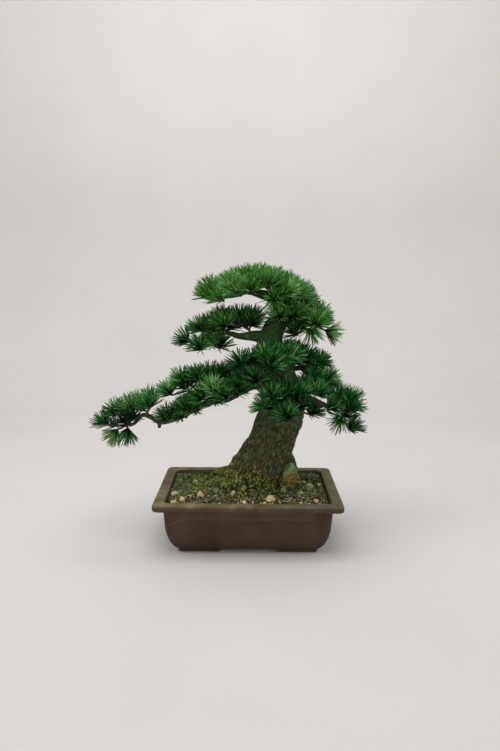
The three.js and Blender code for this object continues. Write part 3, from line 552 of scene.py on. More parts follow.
def foot_rings(side_x, side_y):
    """An L-shaped foot as rings: a softened bottom edge, then ends that sweep outwards."""
    top = FOOT_HEIGHT + FOOT_SINK
    rings = []
    for z in [0, FOOT_SOFT_EDGE, 2, 3.5, 5, 6.5, 8, top]:
        inset = FOOT_SOFT_EDGE if z == 0 else 0
        flare = FOOT_FLARE * (z / top) ** 1.8
        corner = [(
            FOOT_CORNER_X - inset - FOOT_CORNER_RADIUS * (1 - math.cos(angle)),
            FOOT_CORNER_Y - inset - FOOT_CORNER_RADIUS * (1 - math.sin(angle)),
        ) for angle in np.radians(np.linspace(0, 90, 8))]
        inner_x, inner_y = FOOT_CORNER_X - FOOT_WIDTH + inset, FOOT_CORNER_Y - FOOT_WIDTH + inset
        long_end = FOOT_CORNER_X - FOOT_LONG_LEG - flare + inset
        short_end = FOOT_CORNER_Y - FOOT_SHORT_LEG - flare + inset
        outline = corner + [(long_end, FOOT_CORNER_Y - inset), (long_end, inner_y), (inner_x, inner_y),
                            (inner_x, short_end), (FOOT_CORNER_X - inset, short_end)]
        rings.append([(side_x * x, side_y * y, z) for x, y in outline])
    return rings if side_x * side_y > 0 else [ring[::-1] for ring in rings]


def solid_from_rings(name, rings):
    """A plain closed object over rings, with one flat many-sided face at each end."""
    solid = bmesh.new()
    made = [[solid.verts.new(in_frame(p)) for p in ring] for ring in rings]
    count = len(made[0])
    for low, high in zip(made, made[1:]):
        for i in range(count):
            after = (i + 1) % count
            solid.faces.new((low[i], low[after], high[after], high[i]))
    solid.faces.new(made[0][::-1])
    solid.faces.new(made[-1])
    mesh = bpy.data.meshes.new(name)
    solid.to_mesh(mesh)
    solid.free()
    return bpy.data.objects.new(name, mesh)


feet = [solid_from_rings("foot", foot_rings(x, y)) for x in (-1, 1) for y in (-1, 1)]
print("feet:", len(feet))

# %% [markdown]
# ### Unglazed stoneware
#
# Stoneware is a clay that fires dense and dark at about 1250 degrees. With no glaze it shows its own
# dry brown surface, with iron specks under a millimetre wide and a soft, broken sheen where fine clay
# came to the surface. Water, hands and algae have left a thin olive film on the lip. A noise at
# each of these sizes makes that, and the film follows the height of the lip. On the faces that look
# up the film is paler still, which is painted light from above. The specks are drawn
# at 1.6 mm, coarser than life, so that they show. In every material here a Map Range node's inputs
# 1 to 4 are the lowest and highest value that comes in, and what these two become.

# %% Stoneware material
SPECK = 1.6
CLAY_GRAIN = 1.1


def stoneware():
    """Dark fired clay with specks, cloudy firing tones, an olive film along the lip with painted top light,
    and pale marks.
    """
    material, add = new_material("unglazed_stoneware")
    place = add("TexCoord").outputs["Object"]
    firing = add("TexNoise", {"Scale": per_mm(55), "Detail": 4}, {"Vector": place})
    body = add("ValToRGB", {
        "stops": [(0.3, "#3d3126"), (0.55, "#473a2d"), (0.75, "#524436")],
    }, {"Fac": firing})
    height = add("SeparateXYZ", {}, {0: place}).outputs["Z"]
    upward = add("SeparateXYZ", {}, {0: add("NewGeometry").outputs["Normal"]}).outputs["Z"]
    on_lip = add("MapRange", {1: LIP_UNDERSIDE * MM, 2: (POT_HEIGHT - 1) * MM}, {0: height})
    # Painted light: the film is stronger on faces that look up, so the lip's top is paler, as light from
    # above makes it.
    flat = add("MapRange", {1: 0.1, 2: 0.9, 3: 0.4, 4: 0.95}, {0: upward})
    film = add("Math", {"operation": "MULTIPLY"}, {0: on_lip, 1: flat})
    cloud = add("TexNoise", {"Scale": per_mm(24), "Detail": 5}, {"Vector": place})
    cloudy = add("MapRange", {1: 0.3, 2: 0.65, 3: 0.25, 4: 1.0}, {0: cloud})
    film = add("Math", {"operation": "MULTIPLY"}, {0: film, 1: cloudy})
    olive = add("ValToRGB", {"stops": [(0.3, "#686143"), (0.7, "#827c5a")]}, {"Fac": cloud})
    rightward = add("SeparateXYZ", {}, {0: place}).outputs["X"]
    greener = add("MapRange", {1: 0.02, 2: 0.17, 3: 0.0, 4: 0.55}, {0: rightward})
    olive = add("Mix", {MIX_B: "#586248"}, {0: greener, MIX_A: olive})
    film_and_top_light = add("Mix", {}, {0: film, MIX_A: body, MIX_B: olive})
    specks = add("TexNoise", {"Scale": per_mm(SPECK), "Detail": 3}, {"Vector": place})
    dark = add("MapRange", {1: 0.58, 2: 0.72, 3: 0.0, 4: 0.5}, {0: specks})
    speckled = add("Mix", {MIX_B: "#1f1914"}, {0: dark, MIX_A: film_and_top_light})
    pale = add("MapRange", {1: 0.4, 2: 0.26, 3: 0.0, 4: 0.35}, {0: specks})
    pitted = add("Mix", {MIX_B: "#7a6f5c"}, {0: pale, MIX_A: speckled})
    # Pale marks: a painted highlight along the cut line's lower edge, a paler band above the line and a real
    # scratch.
    worn = add("Attribute", {"attribute_name": "worn"}).outputs["Fac"]
    share = add("MapRange", {1: 0.0, 2: 1.0, 3: 0.0, 4: 0.6}, {0: worn})
    rubbed = add("Mix", {MIX_B: "#7b6a54"}, {0: share, MIX_A: pitted})
    sheen = add("MapRange", {1: 0.3, 2: 0.7, 3: 0.5, 4: 0.72}, {0: cloud})
    grain = add("TexNoise", {"Scale": per_mm(CLAY_GRAIN), "Detail": 4}, {"Vector": place})
    bump = add("Bump", {"Strength": 0.25, "Distance": 0.4 * MM}, {"Height": grain})
    return coated(material, {"Base Color": rubbed, "Roughness": sheen, "Normal": bump}, {
        "IOR": 1.5, "Specular IOR Level": 0.14,
    })


stoneware_finish = stoneware()
print("made", stoneware_finish.name)

# %% Join the feet and cut the drain holes
DRAIN_RADIUS = 11
DRAIN_X = 72


def drain_cutter(x):
    """A round plug that cuts one drain hole through the floor."""
    turns = np.radians(range(0, 360, 9))
    ring = [(x + DRAIN_RADIUS * math.cos(a), DRAIN_RADIUS * math.sin(a)) for a in turns]
    return solid_from_rings("cutter", [[(px, py, z) for px, py in ring] for z in (-4, 2 * HOLLOW_FLOOR)])


def with_boolean(target, tools, operation):
    """Joins the tools to the target, or cuts them out of it, and keeps only the result."""
    for tool in tools:
        bpy.context.scene.collection.objects.link(tool)
        cut = target.modifiers.new(operation.lower(), "BOOLEAN")
        cut.operation = operation
        cut.solver = "EXACT"
        cut.object = tool
    result = settled(target)
    for tool in tools:
        bpy.data.objects.remove(tool)
    return result


def settled(target):
    """Applies every modifier of an object to its mesh."""
    shapes = bpy.context.evaluated_depsgraph_get()
    mesh = bpy.data.meshes.new_from_object(target.evaluated_get(shapes))
    target.modifiers.clear()
    target.data = mesh
    return target


points, quads, triangles = loft(pot_rings)
pot = piece_from("stoneware_pot", points, (quads, triangles), stoneware_finish, ["pot"])
with_boolean(pot, feet, "UNION")
with_boolean(pot, [drain_cutter(-DRAIN_X), drain_cutter(DRAIN_X)], "DIFFERENCE")
dress(pot, stoneware_finish)
print("pot faces:", len(pot.data.polygons))

# %% Pale marks on the front: a painted highlight on the cut line's lower edge, a paler band above it and one old scratch
SCRATCH_CENTRE = (-117, 31)
SCRATCH_RADIUS = 37
SCRATCH_ENDS = (-148, -116)

x, y, z = own_points(pot).T
below_lip = z < LIP_UNDERSIDE - 3
# Painted highlight: a pale strip just under the cut line, where its lower edge would catch the light.
line_highlight = np.exp(-((line_distance(x, z + 1.1)) / 0.9) ** 2)
band = 0.2 * (z > LINE_HEIGHT) * (np.abs(x) < LINE_END + LINE_DROP)
from_arc = np.hypot(x - SCRATCH_CENTRE[0], z - SCRATCH_CENTRE[1]) - SCRATCH_RADIUS
scratch = 0.75 * np.exp(-(from_arc / 0.8) ** 2) * (x > SCRATCH_ENDS[0]) * (x < SCRATCH_ENDS[1]) * (z > 45)
set_mark(pot.data, "worn", below_lip * (y < 0) * np.clip(0.55 * line_highlight + band + scratch, 0, 1))
print("the scratch is", SCRATCH_ENDS[1] - SCRATCH_ENDS[0], "mm long")

# %% [markdown]
# ## Drain netting
#
# A square of coarse plastic netting lies over each drain hole, so the grit can't run out. Extruded
# netting is a flat grid of round-cornered strands that are welded where they cross. A grid
# turned into a wire frame gives just that.

# %% Netting
SCREEN_SIZE = 38
SCREEN_THICKNESS = 1.2
SCREEN_CELLS = 12
SCREEN_LIFT = 0.35


def netting_material():
    """Black polyethylene: a waxy plastic, a little rough from extrusion, with dust in it."""
    material, add = new_material("extruded_polyethylene")
    place = add("TexCoord").outputs["Object"]
    dust = add("TexNoise", {"Scale": per_mm(3), "Detail": 3}, {"Vector": place})
    tone = add("ValToRGB", {"stops": [(0.4, "#1c1f1c"), (0.75, "#4b4a40")]}, {"Fac": dust})
    return coated(material, {"Base Color": tone}, {"Roughness": 0.5, "IOR": 1.51})


netting = netting_material()
for side, x in [("left", -DRAIN_X), ("right", DRAIN_X)]:
    steps = np.linspace(-0.5, 0.5, SCREEN_CELLS + 1) * (SCREEN_SIZE - SCREEN_THICKNESS)
    level = HOLLOW_FLOOR + SCREEN_LIFT + SCREEN_THICKNESS / 2
    grid = np.array([(x + a, b, level) for b in steps for a in steps])
    index = np.arange(len(grid)).reshape(len(steps), len(steps))
    cells = np.stack([index[:-1, :-1], index[:-1, 1:], index[1:, 1:], index[1:, :-1]], axis=-1)
    cells = cells.reshape(-1, 4)
    screen = piece_from(f"netting_{side}", grid, [cells], netting, [f"drain_screen_{side}"])
    strands = screen.modifiers.new("strands", "WIREFRAME")
    strands.thickness = SCREEN_THICKNESS * MM
    strands.use_even_offset = False
    settled(screen)
    dress(screen, netting)
print("netting cells a side:", SCREEN_CELLS)

# %% [markdown]
# ## The soil
#
# Bonsai soil is a grit of fired clay, pumice and crushed stone, with grains of 2 to 5 mm. Below the
# surface it is a dark mass, so one closed block with a lumpy top stands for that. The top layer is
# loose grains, each a dented twenty-sided ball of its own size, turn and colour. Under the grains the
# block only shows as shadow.

# %% Height of the soil
SOIL_LEVEL = 92
SOIL_DOME = 5
GAP = 0.35


def soil_height(x, y):
    """The soil's surface: a low dome with slow waves, the same as the solid's."""
    dome = SOIL_DOME * np.exp(-((x - 10) ** 2 / 9000 + y ** 2 / 5200))
    return SOIL_LEVEL + dome + 0.7 * np.sin(x / 13 + 1) * np.cos(y / 11)


def soil_skin():
    """The block of soil that fills the hollow, with a lumpy top."""
    rings = [pot_ring(half - GAP - 0.6, z + GAP, BODY_CORNER - 5)[::3]
             for half, z in rounded_foot(HOLLOW_BEND_HALF, HOLLOW_FLOOR, 8)]
    half = HOLLOW_BEND_HALF + (INNER_HALF - HOLLOW_BEND_HALF) * 0.8 - GAP - 0.8
    edge = pot_ring(half, 0, RIM_CORNER)[::3]
    for scale in np.linspace(1, 0.03, 60):
        ring = edge * (scale, scale, 0)
        lumps = 0.9 * noise_at(ring, 5) + 0.6 * noise_at(ring, 14)
        ring[:, 2] = soil_height(ring[:, 0], ring[:, 1]) - 0.8 + lumps
        rings.append(ring)
    return loft(rings)


print("soil level in the middle:", round(float(soil_height(10, 0)), 1), "mm")

# %% Grit material
# Fired clay and pumice are dry and porous, so they scatter light with almost no gloss. Each grain
# carries its own tone: most are dark and damp, some are buff or bone white, and some have a skin
# of green algae. The pores are about 0.6 mm, drawn at 0.8 mm, and show as a fine roughness.
def grit_material(name, rough):
    """Porous grit whose grains take their colours from two marks on the mesh, tone and algae."""
    material, add = new_material(name)
    place = add("TexCoord").outputs["Object"]
    tone = add("Attribute", {"attribute_name": "tone"})
    algae = add("Attribute", {"attribute_name": "algae"})
    mottle = add("TexNoise", {"Scale": per_mm(1.8), "Detail": 4}, {"Vector": place})
    shift = add("MapRange", {1: 0.3, 2: 0.7, 3: -0.08, 4: 0.08}, {0: mottle})
    mixed = add("Math", {"operation": "ADD"}, {0: tone.outputs["Fac"], 1: shift})
    stone = add("ValToRGB", {
        "stops": [(0.0, "#221f15"), (0.5, "#4a4530"), (0.74, "#756d4a"),
                  (0.86, "#aa9f74"), (1.0, "#ded6b4")],
    }, {"Fac": mixed})
    green = add("Mix", {MIX_B: "#768b58"}, {0: algae.outputs["Fac"], MIX_A: stone})
    pores = add("TexNoise", {"Scale": per_mm(0.8), "Detail": 3}, {"Vector": place})
    bump = add("Bump", {"Strength": rough, "Distance": 0.5 * MM}, {"Height": pores})
    return coated(material, {"Base Color": green, "Normal": bump}, {
        "Roughness": 0.88, "Specular IOR Level": 0.3,
    })


grit_finish = grit_material("clay_and_pumice_grit", 0.5)
points, quads, triangles = soil_skin()
piece_from("soil_block", points, (quads, triangles), grit_finish, ["soil"], {
    "tone": np.full(len(points), 0.18),
    "algae": np.clip(0.3 * noise_at(points, 20), 0, 1),
})
print("soil block points:", len(points))

# %% [markdown]
# ### Loose grains
#
# The grains are set out on a close grid, and each is moved a little at random, so they crowd without
# lying in rows. Left and behind, the grit is damp and green; along the front edge it is dark with
# many pale grains. A seeded generator keeps every run the same.

# %% Moss outline, needed to keep grains out from under it
MOSS_CENTRE = np.array([-8, 12])
MOSS_OUTLINE = np.array([
    (106, 20), (100, 44), (84, 64), (52, 76), (10, 80), (-30, 80), (-66, 82), (-98, 76), (-120, 52),
    (-124, 18), (-118, -16), (-104, -40), (-76, -38), (-46, -32), (-22, -52), (-2, -60), (24, -44),
    (44, -20), (64, -4), (88, 8),
])
MOSS_EDGE = 4
MOSS_CLIMB = 52
MOSS_FOOT = {"place": (6, 8), "radius": 36, "fade": 16}
ROOT_HUMP = {"place": (-52, 34), "height": 12, "spread": 700}

PEBBLE_SINK = 0.3
PEBBLES = [
    ((41, -64), (22, 15, 13), "cream"), ((-89, -41), (15, 12, 13), "cream"),
    ((-122, -60), (15, 11, 9), "cream"), ((-138, -33), (15, 12, 10), "palegreen"),
    ((-136, -75), (12, 9, 7), "cream"), ((-28, -40), (12, 11, 12), "palegreen"),
    ((-7, -79), (13, 9, 8), "cream"), ((9, -46), (19, 13, 10), "slate"),
    ((-61, -24), (15, 14, 15), "teal"), ((119, 10), (18, 14, 14), "green"),
    ((67, -19), (12, 11, 13), "green"), ((111, 38), (13, 10, 9), "green"),
    ((125, -64), (10, 8, 7), "cream"), ((79, -31), (12, 11, 10), "slate"),
    ((-106, 34), (12, 11, 10), "palegreen"), ((-127, 8), (15, 12, 11), "slate"),
]
# Small patches of moss on the grit: place, half sizes and height.
MOSS_PATCHES = [
    ((108, 46), (28, 24), 7), ((134, 34), (12, 30), 6), ((126, 66), (20, 16), 6), ((76, -13), (21, 9), 8),
    ((100, -9), (17, 13), 7), ((54, -28), (12, 9), 5), ((-120, 62), (19, 17), 6), ((-136, 30), (10, 22), 4),
    ((20, -66), (7, 5), 3), ((-42, -58), (11, 6), 4), ((60, -50), (8, 6), 3), ((110, -42), (9, 7), 3),
    ((-72, -54), (9, 5), 3), ((138, -20), (8, 12), 4), ((88, -48), (6, 5), 3),
    ((-76, 84), (46, 16), 8), ((10, 90), (64, 14), 6), ((100, 88), (44, 14), 7),
]

outline_away = MOSS_OUTLINE - MOSS_CENTRE
outline_angle = np.arctan2(outline_away[:, 1], outline_away[:, 0])


def moss_reach(angle):
    """How far the moss reaches from its centre at this angle."""
    sharp = np.interp(angle, outline_angle, np.hypot(*outline_away.T), period=2 * math.pi)
    ragged = on_plan(np.cos(angle), np.sin(angle))
    return sharp + 3.5 * noise_at(ragged, 0.07) + 2.0 * noise_at(ragged, 0.028)


def moss_share(x, y):
    """0 in the middle of the moss, 1 at its edge and more beyond."""
    away_x, away_y = x - MOSS_CENTRE[0], y - MOSS_CENTRE[1]
    return np.hypot(away_x, away_y) / moss_reach(np.arctan2(away_y, away_x))


def patch_lift(x, y):
    """How far the small patches of moss stand above the soil, and 0 outside them."""
    lift = np.zeros(len(x))
    for (middle_x, middle_y), (half_x, half_y), height in MOSS_PATCHES:
        away = ((x - middle_x) / half_x) ** 2 + ((y - middle_y) / half_y) ** 2
        lift = np.maximum(lift, height * (1 - away))
    return lift


def pebble_room(x, y):
    """1 at a pebble and 0 a little beyond it, so that nothing grows over the pebbles."""
    room = np.zeros(len(x))
    for (middle_x, middle_y), (length, _, _), _ in PEBBLES:
        away = np.hypot(x - middle_x, y - middle_y + 2) / length
        room = np.maximum(room, 1 - np.clip((away - 0.5) / 0.3, 0, 1))
    return room


print("the moss reaches from", MOSS_OUTLINE.min(axis=0), "to", MOSS_OUTLINE.max(axis=0))

# %% Grains
GRAIN_SPACING = 2.55
GRAIN_SIZE = (2.3, 5.4)
DAMP_LEFT = -60
DAMP_RIGHT = 80
DAMP_BACK = 10


def many_stones(places, sizes, random):
    """A dented twenty-sided stone at each place, as points and triangles."""
    ball = bmesh.new()
    bmesh.ops.create_icosphere(ball, subdivisions=1, radius=0.5)
    ball.verts.ensure_lookup_table()
    corners = np.array([v.co[:] for v in ball.verts])
    faces = np.array([[v.index for v in f.verts] for f in ball.faces])
    ball.free()
    count = len(places)
    shape = corners[None] * random.uniform(0.72, 1.15, (count, len(corners), 1)) * sizes[:, None]
    axes = np.linalg.qr(random.normal(size=(count, 3, 3)))[0]
    turned = np.einsum("nij,nkj->nki", axes, shape) + places[:, None]
    flipped = np.linalg.det(axes) < 0
    triangles = faces[None] + (np.arange(count) * len(corners))[:, None, None]
    triangles[flipped] = triangles[flipped][..., ::-1]
    return turned.reshape(-1, 3), triangles.reshape(-1, 3), len(corners)


def scatter_grains(random):
    """Places for the grains on all the soil that the moss leaves bare."""
    half_x, half_y = INNER_HALF - 4, INNER_HALF - CORNER_OFFSET - 4
    x, y = np.meshgrid(np.arange(-half_x, half_x, GRAIN_SPACING), np.arange(-half_y, half_y, GRAIN_SPACING))
    places = np.stack([x.ravel(), y.ravel()], axis=-1)
    places += random.uniform(-0.9, 0.9, places.shape)
    share = moss_share(places[:, 0], places[:, 1])
    keep = share > 0.93 + 0.1 * noise_at(on_plan(*places.T), 9)
    return places[keep]


random = np.random.default_rng(SEED)
spots = scatter_grains(random)
small, large = GRAIN_SIZE
widths = small + (large - small) * random.beta(1.2, 2.8, len(spots))
left = np.clip((DAMP_LEFT - spots[:, 0]) / 60, 0, 1) * np.clip((spots[:, 1] + 60) / 40, 0, 1)
widths *= 1 + 0.35 * left
sizes = widths[:, None] * random.uniform(0.7, 1.1, (len(spots), 3))
heights = soil_height(spots[:, 0], spots[:, 1]) + widths * random.uniform(-0.1, 0.35, len(spots))
tone = 0.05 + 0.8 * random.beta(1.6, 1.9, len(spots))
pale = random.random(len(spots)) < 0.2 - 0.14 * left
tone[pale] = random.uniform(0.78, 1.0, pale.sum())
behind = np.clip((spots[:, 1] - DAMP_BACK) / 60, 0, 1)
right = np.clip((spots[:, 0] - DAMP_RIGHT) / 40, 0, 1) * np.clip((spots[:, 1] + 50) / 30, 0, 1)
grain_places = np.column_stack([spots, heights])
wet = 0.75 * left + 0.6 * behind + 0.75 * right + 0.35 * noise_at(grain_places, 22)
algae = np.clip(wet, 0, 0.9) * random.uniform(0.2, 1, len(spots))
points, triangles, per_grain = many_stones(grain_places, sizes, random)
grit = piece_from("grit_grains", points, [triangles], grit_finish, (), {
    "tone": np.repeat(tone, per_grain),
    "algae": np.repeat(algae, per_grain),
}, smooth=False)
print("grains:", len(spots), "faces:", len(grit.data.polygons))

# %% [markdown]
# ## The wood
#
# Trunk, limbs and roots are one grown piece. Each is first a smooth tapering tube along its middle
# line. All tubes are then melted into one skin by a voxel remesh, which also rounds the crotches
# where a limb leaves the trunk, as growth does. Last, the skin is pushed in and out along
# its normals, so that the bark's plates and cracks are real shape.

# %% Middle lines of the trunk, the limbs and the roots
TRUNK = [
    (4, 8, 53), (5, 8, 92), (9, 8, 116), (26, 8, 151), (39, 8, 180), (50, 8, 205), (60, 6, 233),
    (65, 2, 262), (61, -2, 289), (53, -4, 316), (43, -4, 343), (38, -3, 365), (41, 0, 389),
    (52, 3, 417), (55, 5, 439), (51, 5, 461), (42, 4, 480), (34, 3, 491),
]
TRUNK_RADII = [40, 50, 49, 46, 44.5, 44, 43, 41.5, 39, 35, 30, 26.5, 22.5, 18.5, 15, 10.5, 6.5, 3]
TRUNK_STEPS = 19

LIMBS = {
    "left": ([(28, -2, 297), (8, -8, 299), (-15, -12, 289), (-43, -14, 274), (-67, -12, 269),
              (-102, -8, 253), (-135, -4, 235), (-169, 0, 226), (-188, 2, 235), (-202, 4, 238),
              (-220, 4, 221), (-229, 4, 218)],
             [9.5, 3]),
    "leftTop": ([(-15, -12, 289), (-43, 2, 288), (-78, 10, 286), (-113, 12, 280), (-140, 10, 266)], [5, 2.6]),
    "leftBack": ([(25, 6, 299), (-6, 26, 296), (-45, 38, 285), (-84, 40, 277)], [6, 2.4]),
    "right": ([(81, 0, 293), (96, -3, 284), (119, -8, 273), (143, -10, 262), (160, -9, 254), (170, -8, 249)],
              [8, 3]),
    "rightTop": ([(84, 6, 296), (113, 12, 297), (140, 18, 290), (168, 20, 270)], [6, 2.6]),
    "midRight": ([(62, 6, 320), (82, 14, 327), (105, 20, 328), (132, 22, 330)], [6.5, 2.6]),
    "midLeft": ([(35, 0, 387), (13, -3, 391), (-17, -5, 391), (-43, -2, 396), (-77, 2, 390), (-94, 2, 385)],
                [13, 11, 6, 3.4, 2.8, 2.4]),
    "midLeftBack": ([(-17, -5, 391), (-36, 12, 395), (-60, 26, 392), (-83, 32, 387)], [5, 2.4]),
    "upperRight": ([(54, 4, 413), (74, 4, 415), (98, 2, 421), (119, 0, 416)], [7, 2.8]),
    "upperRightBack": ([(74, 4, 415), (90, 20, 407), (112, 28, 402)], [4.5, 2.4]),
    "crownLeft": ([(49, 5, 456), (23, 4, 465), (-3, 2, 472), (-27, 0, 465), (-51, -3, 461)], [7, 2.4]),
    "crownRight": ([(53, 5, 450), (70, 4, 457), (84, 2, 455)], [6, 2.6]),
    "crownFront": ([(51, 5, 452), (41, -18, 459), (30, -34, 463)], [6, 2.6]),
    "crownBack": ([(51, 5, 458), (35, 24, 470), (12, 38, 475)], [6, 2.6]),
    "frontLow": ([(61, 2, 265), (63, -35, 265), (64, -55, 263), (64, -66, 262)], [9, 3]),
    "frontMid": ([(53, -4, 312), (35, -32, 317), (18, -52, 320)], [8, 2.8]),
    "frontMidUp": ([(41, -4, 343), (42, -28, 346), (49, -40, 349)], [6.5, 2.6]),
    "back": ([(49, -4, 331), (52, 40, 325), (57, 70, 321)], [8, 3]),
}

ROOTS = {
    "rootLeft": ([(-4, 10, 124), (-30, 20, 119), (-60, 30, 110), (-86, 36, 92)], [20, 7]),
    "rootBehind": ([(48, 22, 169), (72, 40, 143), (86, 52, 117), (92, 60, 85)], [22, 9]),
}

# Stubs of cut or dead twigs, under the long limb and on the trunk.
STUBS = {
    "stubLow": ([(-169, -2, 226), (-170, -4, 219), (-169, -5, 215)], [4.4, 3]),
    "stubMiddle": ([(-119, -7, 244), (-118, -9, 237), (-117, -10, 235)], [4, 2.4]),
    "stubTrunk": ([(47, -30, 214), (45, -47, 217), (44, -52, 218)], [7, 4.5]),
}
print("limbs:", len(LIMBS), "roots:", len(ROOTS), "stubs:", len(STUBS))

# %% A smooth line through a few points
def along_path(path, shares):
    """Points of a smooth curve through the path, where share 0 is its start and 1 its end."""
    knots = np.array(path, dtype=float)
    knots = np.vstack([2 * knots[0] - knots[1], knots, 2 * knots[-1] - knots[-2]])
    place = np.asarray(shares, dtype=float) * (len(path) - 1)
    low = np.minimum(place.astype(int), len(path) - 2)
    share = (place - low)[:, None]
    a, b, c, d = (knots[low + i] for i in range(4))
    pairs = [(a, b), (b, c), (c, d)]
    before, between, beyond = (np.sum((q - p) ** 2, axis=1, keepdims=True) ** 0.25 for p, q in pairs)
    start_slope = ((b - a) / before - (c - a) / (before + between) + (c - b) / between) * between
    end_slope = ((c - b) / between - (d - b) / (between + beyond) + (d - c) / beyond) * between
    return (
        (2 * share ** 3 - 3 * share ** 2 + 1) * b + (share ** 3 - 2 * share ** 2 + share) * start_slope
        + (3 * share ** 2 - 2 * share ** 3) * c + (share ** 3 - share ** 2) * end_slope
    )


def radius_at(radii, shares):
    """The radius between the listed ones."""
    return np.interp(np.asarray(shares) * (len(radii) - 1), range(len(radii)), radii)


def sweep_frames(centres):
    """At each point of a line: its direction and two directions across it that don't twist."""
    ahead = unit(np.gradient(centres, axis=0))
    side = np.zeros_like(centres)
    first = np.array([1.0, 0, 0]) if abs(ahead[0][0]) < 0.8 else np.array([0, 1.0, 0])
    for i, direction in enumerate(ahead):
        first = first - direction * first.dot(direction)
        first = first / np.linalg.norm(first)
        side[i] = first
    return ahead, side, np.cross(ahead, side)


def tube(path, radii, sides, step, relief=None):
    """A tapering tube as points and faces, and its middle line with radii and directions."""
    rough = along_path(path, np.linspace(0, 1, 60))
    length = np.linalg.norm(np.diff(rough, axis=0), axis=1).sum()
    shares = np.linspace(0, 1, max(3, round(length / step)) + 1)
    centres = along_path(path, shares)
    ahead, side, other = sweep_frames(centres)
    radius = radius_at(radii, shares)
    angle = np.linspace(0, 2 * math.pi, sides, endpoint=False)[None, :]
    reach = np.repeat(radius[:, None], sides, axis=1)
    if relief:
        reach = reach * (1 + relief(shares[:, None], angle))
    across = np.cos(angle)[..., None] * side[:, None] + np.sin(angle)[..., None] * other[:, None]
    rings = centres[:, None] + reach[..., None] * across
    travel = np.concatenate([[0], np.cumsum(np.linalg.norm(np.diff(centres, axis=0), axis=1))])
    return loft(rings), {"centres": centres, "ahead": ahead, "side": side, "other": other,
                         "radius": radius, "travel": travel}


print("trunk length:", round(float(tube(TRUNK, TRUNK_RADII, 8, 5)[1]["travel"][-1])), "mm")

# %% Tubes for every stretch of wood
def trunk_relief(share, angle):
    """Slow ridges up the trunk, and five lobes where the root crown spreads."""
    step = share * TRUNK_STEPS
    ridges = 0.035 * (np.sin(3 * angle + step * 1.7) + 0.7 * np.sin(5 * angle - step * 2.3))
    return ridges + 0.12 * np.maximum(0, 1 - share * 4.5) * np.cos(5 * angle + 0.6)


def root_relief(share, angle):
    """Low ridges along a surface root."""
    step = share * 4
    return 0.05 * (np.sin(3 * angle + step * 1.7) + 0.7 * np.sin(5 * angle - step * 2.3))


wood_tubes = [tube(TRUNK, TRUNK_RADII, 72, 3, trunk_relief)]
wood_tubes += [tube(path, radii, 20, 2.5) for path, radii in LIMBS.values()]
wood_tubes += [tube(path, radii, 28, 2.5, root_relief) for path, radii in ROOTS.values()]
wood_tubes += [tube(path, radii, 12, 1.5) for path, radii in STUBS.values()]
wood_lines = {key: np.concatenate([line[key] for _, line in wood_tubes]) for key in wood_tubes[0][1]}
line_lengths = [len(line["radius"]) for _, line in wood_tubes]
wood_lines["owner"] = np.repeat(range(len(wood_tubes)), line_lengths)
print("points on the wood's middle lines:", len(wood_lines["radius"]))

# %% [markdown]
# ### Bark
#
# Old pine bark breaks into long scales with dark cracks between them, and the scales are larger on a
# thicker stem. So the pattern is measured in the wood's own directions: across the
# stem, and along it, where it is stretched. Cell noise gives the scales, and the cracks lie where two
# cells meet. The same values are kept as marks on the mesh, so the shader darkens exactly the
# cracks that the shape has, nearly to black: the inner bark's own dark colour with painted shade on top.

# %% Melt the tubes into one skin
WOOD_VOXEL = 1.35


def melt(name, skins, voxel):
    """Several closed skins as one, by voxel remesh and a light smoothing."""
    points, quads, triangles = together(skins)
    rough = piece_from(name, points, (quads, triangles), stoneware_finish)
    remesh = rough.modifiers.new("melt", "REMESH")
    remesh.mode = "VOXEL"
    remesh.voxel_size = voxel * MM
    smooth = rough.modifiers.new("smooth", "SMOOTH")
    smooth.factor = 0.5
    smooth.iterations = 3
    return settled(rough)


wood = melt("living_wood", [skin for skin, _ in wood_tubes], WOOD_VOXEL)
print("wood points:", len(wood.data.vertices))

# %% Bark coordinates: across, across and along the nearest stretch of wood
SCALE_SHARE = 0.13
SCALE_LIMITS = (2.8, 5.8)
SCALE_STRETCH = 0.33


def nearest_wood(places):
    """For each place, the nearest point of a middle line and how far the place lies outside it."""
    nearest = np.zeros(len(places), dtype=int)
    outside = np.zeros(len(places))
    for start in range(0, len(places), 4000):
        part = places[start:start + 4000]
        square = (
            (part ** 2).sum(axis=1)[:, None] + (wood_lines["centres"] ** 2).sum(axis=1)[None]
            - 2 * part @ wood_lines["centres"].T
        )
        gap = np.sqrt(np.maximum(square, 0)) - wood_lines["radius"][None]
        nearest[start:start + 4000] = gap.argmin(axis=1)
        outside[start:start + 4000] = gap.min(axis=1)
    return nearest, outside


wood_points = own_points(wood)
nearest, _ = nearest_wood(wood_points)
from_line = wood_points - wood_lines["centres"][nearest]
bark_place = np.stack([
    (from_line * wood_lines["side"][nearest]).sum(axis=1),
    (from_line * wood_lines["other"][nearest]).sum(axis=1),
    (from_line * wood_lines["ahead"][nearest]).sum(axis=1) + wood_lines["travel"][nearest],
], axis=-1)
thickness = wood_lines["radius"][nearest]
scale_size = np.clip(SCALE_SHARE * thickness, *SCALE_LIMITS)
print("bark scales from", SCALE_LIMITS[0], "to", SCALE_LIMITS[1], "mm")

# %% Press the scales and cracks into the skin
CRACK_WIDTH = 0.34
BARK_DEPTH = 0.05
DEEPEST_CRACK = 2.3


def bark_relief(place, size, owner):
    """0 in a crack and 1 on a scale, and a fine flaking between about -1 and 1."""
    warped = np.empty_like(place)
    for axis in range(3):
        warped[:, axis] = place[:, axis] + 0.35 * size * noise_at(place + 70 * axis, 14)
    cells = warped * np.array([1, 1, SCALE_STRETCH]) / size[:, None] + owner[:, None] * 3.7
    crack = np.empty(len(place))
    for i, p in enumerate(cells):
        distances = noise.voronoi(Vector(p))[0]
        crack[i] = distances[1] - distances[0]
    plate = np.clip(crack / CRACK_WIDTH, 0, 1)
    plate = plate * plate * (3 - 2 * plate)
    flakes = noise_at(warped * np.array([1, 1, 0.4]), 3.2)
    return plate, flakes


